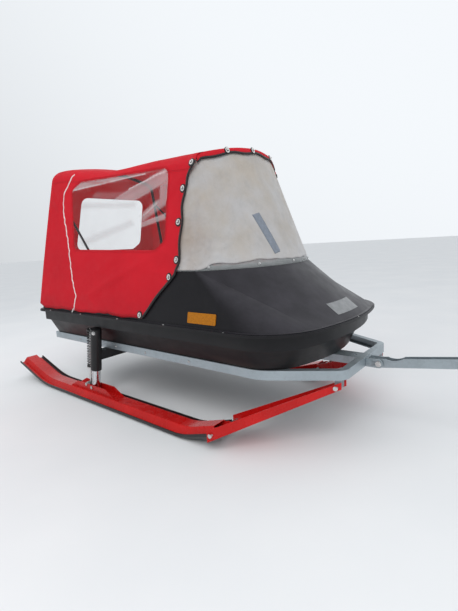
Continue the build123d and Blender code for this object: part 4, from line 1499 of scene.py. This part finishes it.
# The clear sheet and its film: thickness in metres, rows, and steps along the side, the corner and half the front
SHIELD_THICKNESS, FILM_THICKNESS, LABEL_THICKNESS = 0.0035, 0.0004, 0.0003
SHIELD_ROWS, SHIELD_STEPS = 26, (8, 10, 30)
FILM_ROWS, FILM_STEPS = 74, (14, 14, 60)
# Rounds of the search for the height at which a column meets the canopy
SHIELD_ROUNDS = 5
# How far the film and the band on it stand off the clear sheet
FILM_OFF = 1.3
LABEL_OFF = 1.6
# The plain band across the film: ends (y, z), half width, rows and columns
LABEL_START, LABEL_END, LABEL_HALF = (-160.0, 1035.0), (-113.0, 843.0), 23.0
LABEL_ROWS, LABEL_COLUMNS = 40, 6


def film_low_z(y):
    """Height of the film's lower edge across the windshield."""
    return along_table(FILM_LOW_EDGE, y)[0] + 1.5 * math.sin(y / 13.0)


def film_lift(x, y, z):
    """How far the film's creases stand up: most on the right and at the foot, least under the canopy."""
    right = smooth_step(-y, 250.0, 440.0)
    foot = smooth_step(-z, -900.0, -800.0)
    rough = 0.5 + 1.8 * right + 1.0 * foot
    a = noise.noise(Vector((y / 34.0 + x / 60.0, z / 52.0, 4.0)))
    b = noise.noise(Vector((y / 15.0, z / 22.0 + x / 30.0, 8.0)))
    c = noise.noise(Vector((y / 90.0, z / 110.0, 15.0)))
    ridge = max(0.0, 1.0 - 5.0 * abs(a)) * 1.2 + max(0.0, 1.0 - 5.0 * abs(b)) * 0.6 * (right + 0.5 * foot)
    lift = ridge * rough * 0.8 + 0.6 * (c + 0.5)
    return lift * between(0.25, 1.0, smooth_step(x, 330.0, 372.0))


class SLED_OT_windshield(bpy.types.Operator):
    """Clear windshield, the grubby protective film on it, the film's band and the screws"""

    bl_idname = "sled.windshield"
    bl_label = "Windshield"

    def execute(self, context):
        foot = HOOD_TOP_Z + SHIELD_FOOT_GAP
        vertices, faces = self.sheet(0.0, SHIELD_ROWS, SHIELD_STEPS, lambda y: foot, lambda x, y, z: 0.0)
        clear = from_faces("windshield_clear", vertices, faces, "shield_clear")
        thicken(clear, SHIELD_THICKNESS)
        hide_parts("windshield")
        vertices, faces = self.sheet(FILM_OFF, FILM_ROWS, FILM_STEPS, film_low_z, film_lift)
        film = from_faces("windshield_film", vertices, faces, "film_sheet")
        thicken(film, FILM_THICKNESS)
        self.label()
        self.screws()
        return {"FINISHED"}

    def sheet(self, offset, rows, steps, low, lift):
        """A sheet that stands off the windshield by offset and lift, from height low(y) up to the canopy."""
        count = len(shield_outline(HOOD_TOP_Z, offset, steps))
        vertices, faces = [], []
        for j in range(rows + 1):
            for i in range(count):
                z = 1300.0
                for _ in range(SHIELD_ROUNDS):
                    x, y = shield_outline(z, offset, steps)[i]
                    z = between(low(y), cloth_z(x, y) - SHIELD_TOP_GAP, j / rows)
                x, y = shield_outline(z, offset + lift(x, y, z), steps)[i]
                vertices.append(mm(x, y, z))
        for j in range(rows):
            for i in range(count - 1):
                a = j * count + i
                faces.append((a, a + 1, a + count + 1, a + count))
        return vertices, faces

    def label(self):
        """A plain grey-blue band across the film."""
        bm = bmesh.new()
        start, end = Vector(LABEL_START), Vector(LABEL_END)
        run = (end - start).normalized()
        across = Vector((run.y, -run.x))
        grid = []
        for i in range(LABEL_ROWS + 1):
            row = []
            for j in range(LABEL_COLUMNS + 1):
                p = start.lerp(end, i / LABEL_ROWS) + across * between(-LABEL_HALF, LABEL_HALF, j / LABEL_COLUMNS)
                p += run * (0.8 * math.sin(j * 1.7))
                off = LABEL_OFF + film_lift(600.0, p.x, p.y)
                row.append(bm.verts.new(mm(shield_x(p.x, p.y, off), p.x, p.y)))
            grid.append(row)
        for a, b in zip(grid, grid[1:]):
            for j in range(LABEL_COLUMNS):
                bm.faces.new((a[j], a[j + 1], b[j + 1], b[j]))
        bmesh.ops.recalc_face_normals(bm, faces=bm.faces)
        thicken(from_bmesh("film_label", bm, "label_blue"), LABEL_THICKNESS, 1.0)

    def screws(self):
        bm = bmesh.new()
        for x, y in [*SHIELD_SCREWS, *((x, -y) for x, y in SHIELD_SCREWS[:3])]:
            normal = shield_normal(x, y, SCREW_Z)
            add_dome(bm, mm(x, y, SCREW_Z) + normal * 0.001, normal, SHIELD_SCREW_RADIUS)
        from_bmesh("windshield_screws", bm, "zinc")


def shield_normal(x, y, z):
    """Outward direction of the windshield at a place."""
    points = shield_outline(z, 0.0, (8, 12, 40))
    i = min(range(1, len(points) - 1), key=lambda k: (points[k][0] - x) ** 2 + (points[k][1] - y) ** 2)
    (xa, ya), (xb, yb) = points[i - 1], points[i + 1]
    run = Vector((xb - xa, yb - ya, 0.0)).normalized()
    return Vector((run.y, -run.x, 0.2)).normalized()


# Radii of screw and bolt heads, in metres
SHIELD_SCREW_RADIUS, RIM_SCREW_RADIUS, RAIL_BOLT_RADIUS, STRUT_BOLT_RADIUS = 0.0072, 0.0058, 0.0065, 0.0085
STRUT_BOLT_DEPTH = 0.008
# A domed head on a washer: height and radius per unit of its radius
DOME = ((0.0, 1.0), (0.12, 1.02), (0.2, 0.98), (0.22, 0.72), (0.32, 0.70), (0.52, 0.60), (0.66, 0.42), (0.72, 0.16))


def add_dome(bm, place, axis, radius):
    """A domed screw head on a washer."""
    turned(bm, place, axis, [(along * radius, wide * radius) for along, wide in DOME], 18)


def add_hex(bm, place, axis, radius, depth):
    """A hexagon head with a washer and a chamfered top."""
    washer = ((0.0, radius * 1.35), (depth * 0.16, radius * 1.35), (depth * 0.2, radius * 1.28))
    head = ((0.0, radius), (depth * 0.7, radius), (depth * 0.8, radius * 0.86))
    turned(bm, place, axis, washer, 20)
    turned(bm, place + axis.normalized() * depth * 0.2, axis, head, 6)


class SLED_OT_tub(bpy.types.Operator):
    """Black thermoformed tub and hood with the rim's screws, the reflectors and the plate"""

    bl_idname = "sled.tub"
    bl_label = "Tub and hood"

    def execute(self, context):
        dress_node("tub", "black_plastic", 3.0, 3)
        dress_node("deck", "black_plastic", 5.0, 3)
        dress_node("number_plate", "grey_label", 0.6)
        for side in SIDE_NAMES:
            dress_node(f"reflector_{side}", "amber", 1.2)
        bm = bmesh.new()
        for x, y in RIM_SCREWS:
            for sign in SIDES:
                if y or sign > 0:
                    add_dome(bm, mm(x, y * sign, RIM_Z), Vector((0, 0, 1)), RIM_SCREW_RADIUS)
        from_bmesh("rim_screws", bm, "zinc")
        return {"FINISHED"}


class SLED_OT_frame(bpy.types.Operator):
    """Galvanised channel frame and the painted strut beam"""

    bl_idname = "sled.frame"
    bl_label = "Frame"

    def execute(self, context):
        for name in (
            "side_rail_left", "side_rail_right", "front_bow", "rear_cross_member", "middle_cross_member", "mid_beam",
        ):
            dress_node(name, "galvanised", 1.2)
        dress_node("strut_beam", "black_steel", 1.5)
        return {"FINISHED"}


# Parts of the running gear that each side has: name, finish, rounding of the edges in millimetres
SIDE_GEAR = (
    ("ski", "red_steel", 1.2),
    ("ski_sole", "sole_plastic", 1.5),
    ("arm", "red_steel", 1.5),
    ("strut_tube", "black_steel", 1.0),
    ("strut_leg", "chrome", 0.8),
    ("spring_rod", "zinc", 0.8),
    ("suspension_pins", "zinc", 0.8),
)
# The strut springs, in metres: start and length along the strut, distance behind it, outer and wire radius
SPRING_START, SPRING_LENGTH, SPRING_BACK = 0.114, 0.240, 0.058
SPRING_RADIUS, WIRE_RADIUS = 0.023, 0.0029
# Turns in all, turns that touch at each end, and steps in a turn
TURNS, TOUCHING_TURNS, TURN_STEPS = 15, 0.9, 20
STRUT_BOLT_Z = 426.0


def coil_height(turn):
    """How far along the spring its wire is after so many turns."""
    pitch = 2 * WIRE_RADIUS
    if turn < TOUCHING_TURNS:
        return turn * pitch
    if turn > TURNS - TOUCHING_TURNS:
        return SPRING_LENGTH - pitch - (TURNS - turn) * pitch
    free = (SPRING_LENGTH - pitch - 2 * TOUCHING_TURNS * pitch) / (TURNS - 2 * TOUCHING_TURNS)
    return TOUCHING_TURNS * pitch + (turn - TOUCHING_TURNS) * free


class SLED_OT_running_gear(bpy.types.Operator):
    """Skis with their soles and arms, struts, coil springs, pins and the frame's bolts"""

    bl_idname = "sled.running_gear"
    bl_label = "Skis and struts"

    def execute(self, context):
        for side, sign in SIDE_NAMES.items():
            for name, finish, bevel in SIDE_GEAR:
                dress_node(f"{name}_{side}", finish, bevel)
            self.spring(side, sign)
        self.bolts()
        return {"FINISHED"}

    def bolts(self):
        """Bolt heads at the tops of the struts and along the rails."""
        bm = bmesh.new()
        strut_x = STRUT_FOOT_X + math.tan(STRUT_RAKE) * (STRUT_BOLT_Z - STRUT_FOOT_Z)
        for sign in SIDES:
            out = Vector((0.5, sign * 0.866, 0.0))
            top = mm(strut_x, sign * TRACK_HALF, STRUT_BOLT_Z)
            add_hex(bm, top + out * 0.0322, out, STRUT_BOLT_RADIUS, STRUT_BOLT_DEPTH)
            for x in RAIL_BOLTS:
                add_dome(bm, mm(x, sign * (RAIL_HALF + 0.2), RAIL_BOLT_Z), Vector((0, sign, 0)), RAIL_BOLT_RADIUS)
        from_bmesh("frame_bolts", bm, "zinc")

    def spring(self, side, sign):
        """A wound coil in place of the source's ridged sleeve."""
        up = Vector((math.sin(STRUT_RAKE), 0.0, math.cos(STRUT_RAKE)))
        back = Vector((-math.cos(STRUT_RAKE), 0.0, math.sin(STRUT_RAKE)))
        across = Vector((0.0, 1.0, 0.0))
        foot = mm(STRUT_FOOT_X, sign * TRACK_HALF, STRUT_FOOT_Z)
        radius = SPRING_RADIUS - WIRE_RADIUS
        points = []
        for k in range(TURNS * TURN_STEPS + 1):
            turn = k / TURN_STEPS
            angle = 2 * math.pi * turn
            centre = foot + up * (SPRING_START + WIRE_RADIUS + coil_height(turn)) + back * SPRING_BACK
            points.append(centre + across * (radius * math.cos(angle)) + back * (radius * math.sin(angle)))
        bm = bmesh.new()
        tube_along(bm, points, WIRE_RADIUS, 10)
        coil = from_bmesh(f"coil_spring_{side}", bm, "spring_steel")
        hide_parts(f"strut_spring_{side}")


class SLED_OT_hoops(bpy.types.Operator):
    """Black hoops and stays under the canopy"""

    bl_idname = "sled.hoops"
    bl_label = "Hoops"

    def execute(self, context):
        for name in ("front_hoop", "rear_hoop", "stay_left", "stay_right"):
            dress_node(name, "black_steel")
        return {"FINISHED"}


# Seat pads: solid, middle in millimetres, size, lean in degrees and how far the cloth may swell
PADS = (
    ("seat_cushion", (-565.0, 0.0, 417.5), (0.454, 0.744, 0.104), 0.0, 0.018),
    ("seat_back", (-894.0, 0.0, 553.0), (0.074, 0.744, 0.384), -14.0, 0.014),
)
PAD_ROUNDING = 0.018
# Seams across the pads: y and width, and how deep they draw in a pad that is thin in x or in z
SEAMS = (-0.125, 0.125)
SEAM_WIDTH = 0.007
BACK_SEAM_DEPTH, CUSHION_SEAM_DEPTH = 0.05, 0.07
# How far a pad may stand above its solid
PAD_RISE = 0.006


class SLED_OT_seat(bpy.types.Operator):
    """Stuffed seat cushion and backrest in black vinyl"""

    bl_idname = "sled.seat"
    bl_label = "Seat"

    def execute(self, context):
        for obj in [self.pad(*row) for row in PADS]:
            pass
        return {"FINISHED"}

    def pad(self, node, centre, size, lean, swell):
        """A closed block, rounded and blown up as cloth, its seams then drawn in."""
        centre = mm(*centre)
        turn = Matrix.Rotation(math.radians(lean), 4, "Y")
        bm = bmesh.new()
        bmesh.ops.create_cube(bm, size=1.0)
        bmesh.ops.scale(bm, vec=size, verts=bm.verts)
        bmesh.ops.bevel(bm, geom=bm.edges[:], offset=PAD_ROUNDING, segments=4, profile=0.6, affect="EDGES")
        bmesh.ops.transform(bm, matrix=Matrix.Translation(centre) @ turn, verts=bm.verts)
        obj = from_bmesh(f"{node}_pad", bm, "black_vinyl")
        modifier(obj, "REMESH", mode="VOXEL", voxel_size=0.0075)
        apply_modifiers(obj)
        self.blow_up(obj, swell)
        self.draw_in_seams(obj, centre, turn, size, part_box(node))
        modifier(obj, "SUBSURF", levels=1, render_levels=1)
        apply_modifiers(obj)
        shade_smooth(obj.data)
        set_finish(obj, "black_vinyl")
        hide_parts(node)
        return obj

    def blow_up(self, obj, swell):
        """Blows the pad up as cloth, each point no further than swell."""
        start = [v.co.copy() for v in obj.data.vertices]
        cloth = modifier(obj, "CLOTH")
        cloth.settings.use_pressure = True
        cloth.settings.uniform_pressure_force = 4.0
        cloth.settings.quality = 4
        cloth.settings.effector_weights.gravity = 0.0
        scene = bpy.context.scene
        for number in range(1, 17):
            scene.frame_set(number)
        graph = bpy.context.evaluated_depsgraph_get()
        blown = [v.co.copy() for v in obj.evaluated_get(graph).data.vertices]
        obj.modifiers.clear()
        scene.frame_set(1)
        for vertex, a, b in zip(obj.data.vertices, start, blown):
            move = b - a
            if move.length > swell:
                move *= swell / move.length
            vertex.co = a + move

    def draw_in_seams(self, obj, centre, turn, size, box):
        """Draws in the seams between panels and keeps the pad inside its solid."""
        low, high = box
        back = turn.inverted()
        for vertex in obj.data.vertices:
            p = back @ (vertex.co - centre)
            for line in SEAMS:
                pull = math.exp(-(((p.y - line) / SEAM_WIDTH) ** 2))
                if size[0] < 0.1:
                    p.x *= 1 - BACK_SEAM_DEPTH * pull
                if size[2] < 0.2:
                    p.z *= 1 - CUSHION_SEAM_DEPTH * pull
            vertex.co = centre + turn @ p
            vertex.co.x = min(max(vertex.co.x, low[0]), high[0])
            vertex.co.z = min(max(vertex.co.z, low[2]), high[2] + PAD_RISE)


class SLED_OT_drawbar(bpy.types.Operator):
    """Galvanised drawbar, its clevis and its bolt"""

    bl_idname = "sled.drawbar"
    bl_label = "Drawbar"

    def execute(self, context):
        dress_node("drawbar", "galvanised", 1.5)
        dress_node("drawbar_clevis", "galvanised", 1.2)
        dress_node("drawbar_pin", "zinc", 1.0)
        return {"FINISHED"}


# Soft lamps: name, place, side, power
LAMPS = (
    ("key", (2.2, -3.6, 4.4), 3.4, 120.0),
    ("fill", (-3.2, -2.6, 3.2), 3.0, 35.0),
)
LAMP_TARGET = (0.0, 0.0, 0.6)
# The camera: pan, tilt and roll in degrees, place, and focal length on a 36 mm wide picture
CAMERA_TURNS = (39.89, 9.16, 3.53)
CAMERA_PLACE = (1.3488, -1.7259, 0.9016)
CAMERA_LENS = 385.6 * 36.0 / 611.0
# The sky: direction of its bright side, and from and to what share of it the strength goes from low to high
SKY_BRIGHT_SIDE = (0.12, 0.70, 0.70)
SKY_RANGE = (-0.75, 0.85, 0.38, 0.98)
SKY_COLOUR = (0.93, 0.965, 1.0, 1.0)


class SLED_OT_stage(bpy.types.Operator):
    """Pale floor, soft light and the camera"""

    bl_idname = "sled.stage"
    bl_label = "Stage"

    def execute(self, context):
        self.camera(context)
        self.floor()
        self.light(context)
        return {"FINISHED"}

    def camera(self, context):
        yaw, pitch, roll = (math.radians(angle) for angle in CAMERA_TURNS)
        ahead = Vector((-math.sin(yaw) * math.cos(pitch), math.cos(yaw) * math.cos(pitch), -math.sin(pitch)))
        right = Vector((math.cos(yaw), math.sin(yaw), 0.0))
        down = ahead.cross(right)
        right_rolled = right * math.cos(roll) + down * math.sin(roll)
        down_rolled = ahead.cross(right_rolled)
        turn = Matrix((right_rolled, -down_rolled, -ahead)).transposed()
        camera = bpy.data.objects.new("camera", bpy.data.cameras.new("camera"))
        camera.matrix_world = Matrix.Translation(CAMERA_PLACE) @ turn.to_4x4()
        camera.data.lens = CAMERA_LENS
        context.scene.collection.objects.link(camera)
        context.scene.camera = camera

    def floor(self):
        bm = bmesh.new()
        bmesh.ops.create_grid(bm, x_segments=2, y_segments=2, size=60.0)
        mesh = bpy.data.meshes.new("floor")
        bm.to_mesh(mesh)
        bm.free()
        obj = bpy.data.objects.new("floor", mesh)
        bpy.context.scene.collection.objects.link(obj)
        f = Finish("studio_floor", Roughness=0.8)
        f.feed("Base_Color", f.mix(f.patches(1.5, 0.3, 0.7, 3.0), (0.76, 0.77, 0.78), (0.80, 0.805, 0.81)))
        obj.data.materials.append(f.material)

    def light(self, context):
        world = bpy.data.worlds.new("soft_sky")
        context.scene.world = world
        world.use_nodes = True
        tree = world.node_tree
        place = tree.nodes.new("ShaderNodeTexCoord")
        toward = tree.nodes.new("ShaderNodeVectorMath")
        toward.operation = "DOT_PRODUCT"
        toward.inputs[1].default_value = SKY_BRIGHT_SIDE
        tree.links.new(place.outputs["Generated"], toward.inputs[0])
        level = tree.nodes.new("ShaderNodeMapRange")
        level.interpolation_type = "SMOOTHSTEP"
        for index, value in enumerate(SKY_RANGE, 1):
            level.inputs[index].default_value = value
        tree.links.new(toward.outputs["Value"], level.inputs[0])
        back = tree.nodes["Background"]
        back.inputs["Color"].default_value = SKY_COLOUR
        tree.links.new(level.outputs[0], back.inputs["Strength"])
        for name, spot, size, power in LAMPS:
            lamp = bpy.data.lights.new(name, "AREA")
            lamp.size = size
            lamp.energy = power
            obj = bpy.data.objects.new(name, lamp)
            obj.location = spot
            obj.rotation_euler = (Vector(LAMP_TARGET) - Vector(spot)).to_track_quat("-Z", "Y").to_euler()
            obj.visible_glossy = False
            context.scene.collection.objects.link(obj)
        context.scene.view_settings.view_transform = "Standard"


class SledSizes(bpy.types.PropertyGroup):
    """Sizes that a user would change."""

    cloth_thickness: FloatProperty(
        name="Cloth thickness", description="Thickness of the canopy's coated cloth", default=0.0014, unit="LENGTH"
    )
    edging_width: FloatProperty(
        name="Edging width", description="Width of the black tape along the canopy's front edge", default=0.010,
        unit="LENGTH",
    )
    zip_width: FloatProperty(name="Zip width", description="Width of the canopy's zips", default=0.010, unit="LENGTH")


class SledColours(bpy.types.PropertyGroup):
    """Colours that a user would change."""

    cloth: FloatVectorProperty(
        name="Cloth", description="Red of the canopy's cloth", default=(0.74, 0.02, 0.038),
        subtype="COLOR", min=0, max=1,
    )
    paint: FloatVectorProperty(
        name="Paint", description="Red of the skis and arms", default=(0.56, 0.01, 0.009),
        subtype="COLOR", min=0, max=1,
    )
    plastic: FloatVectorProperty(
        name="Plastic", description="Black of the tub and hood", default=(0.0055, 0.005, 0.0062),
        subtype="COLOR", min=0, max=1,
    )
    film: FloatVectorProperty(
        name="Film", description="Colour of the windshield's protective film", default=(0.47, 0.455, 0.45),
        subtype="COLOR", min=0, max=1,
    )
    galvanised: FloatVectorProperty(
        name="Galvanised", description="Colour of the galvanised steel", default=(0.38, 0.43, 0.46), subtype="COLOR",
        min=0, max=1,
    )
    reflector: FloatVectorProperty(
        name="Reflector", description="Amber of the side reflectors", default=(0.45, 0.155, 0.002), subtype="COLOR",
        min=0, max=1,
    )


OPERATORS = (
    SLED_OT_stage,
    SLED_OT_tub,
    SLED_OT_frame,
    SLED_OT_running_gear,
    SLED_OT_drawbar,
    SLED_OT_hoops,
    SLED_OT_seat,
    SLED_OT_windshield,
    SLED_OT_canopy,
)


class SLED_PT_panel(bpy.types.Panel):
    bl_label = "Passenger sled"
    bl_idname = "SLED_PT_panel"
    bl_space_type = "VIEW_3D"
    bl_region_type = "UI"
    bl_category = "Sled"

    def draw(self, context):
        layout = self.layout
        for group in (context.scene.sled_sizes, context.scene.sled_colours):
            for name in group.bl_rna.properties.keys():
                if name not in ("rna_type", "name"):
                    layout.prop(group, name)
        for operator in OPERATORS:
            layout.operator(operator.bl_idname)


CLASSES = (SledSizes, SledColours, *OPERATORS, SLED_PT_panel)


def register():
    for cls in CLASSES:
        bpy.utils.register_class(cls)
    bpy.types.Scene.sled_sizes = PointerProperty(type=SledSizes)
    bpy.types.Scene.sled_colours = PointerProperty(type=SledColours)


def unregister():
    del bpy.types.Scene.sled_colours
    del bpy.types.Scene.sled_sizes
    for cls in reversed(CLASSES):
        bpy.utils.unregister_class(cls)


def main():
    register()
    for operator in OPERATORS:
        group, name = operator.bl_idname.split(".")
        getattr(getattr(bpy.ops, group), name)()


if __name__ == "__main__":
    main()
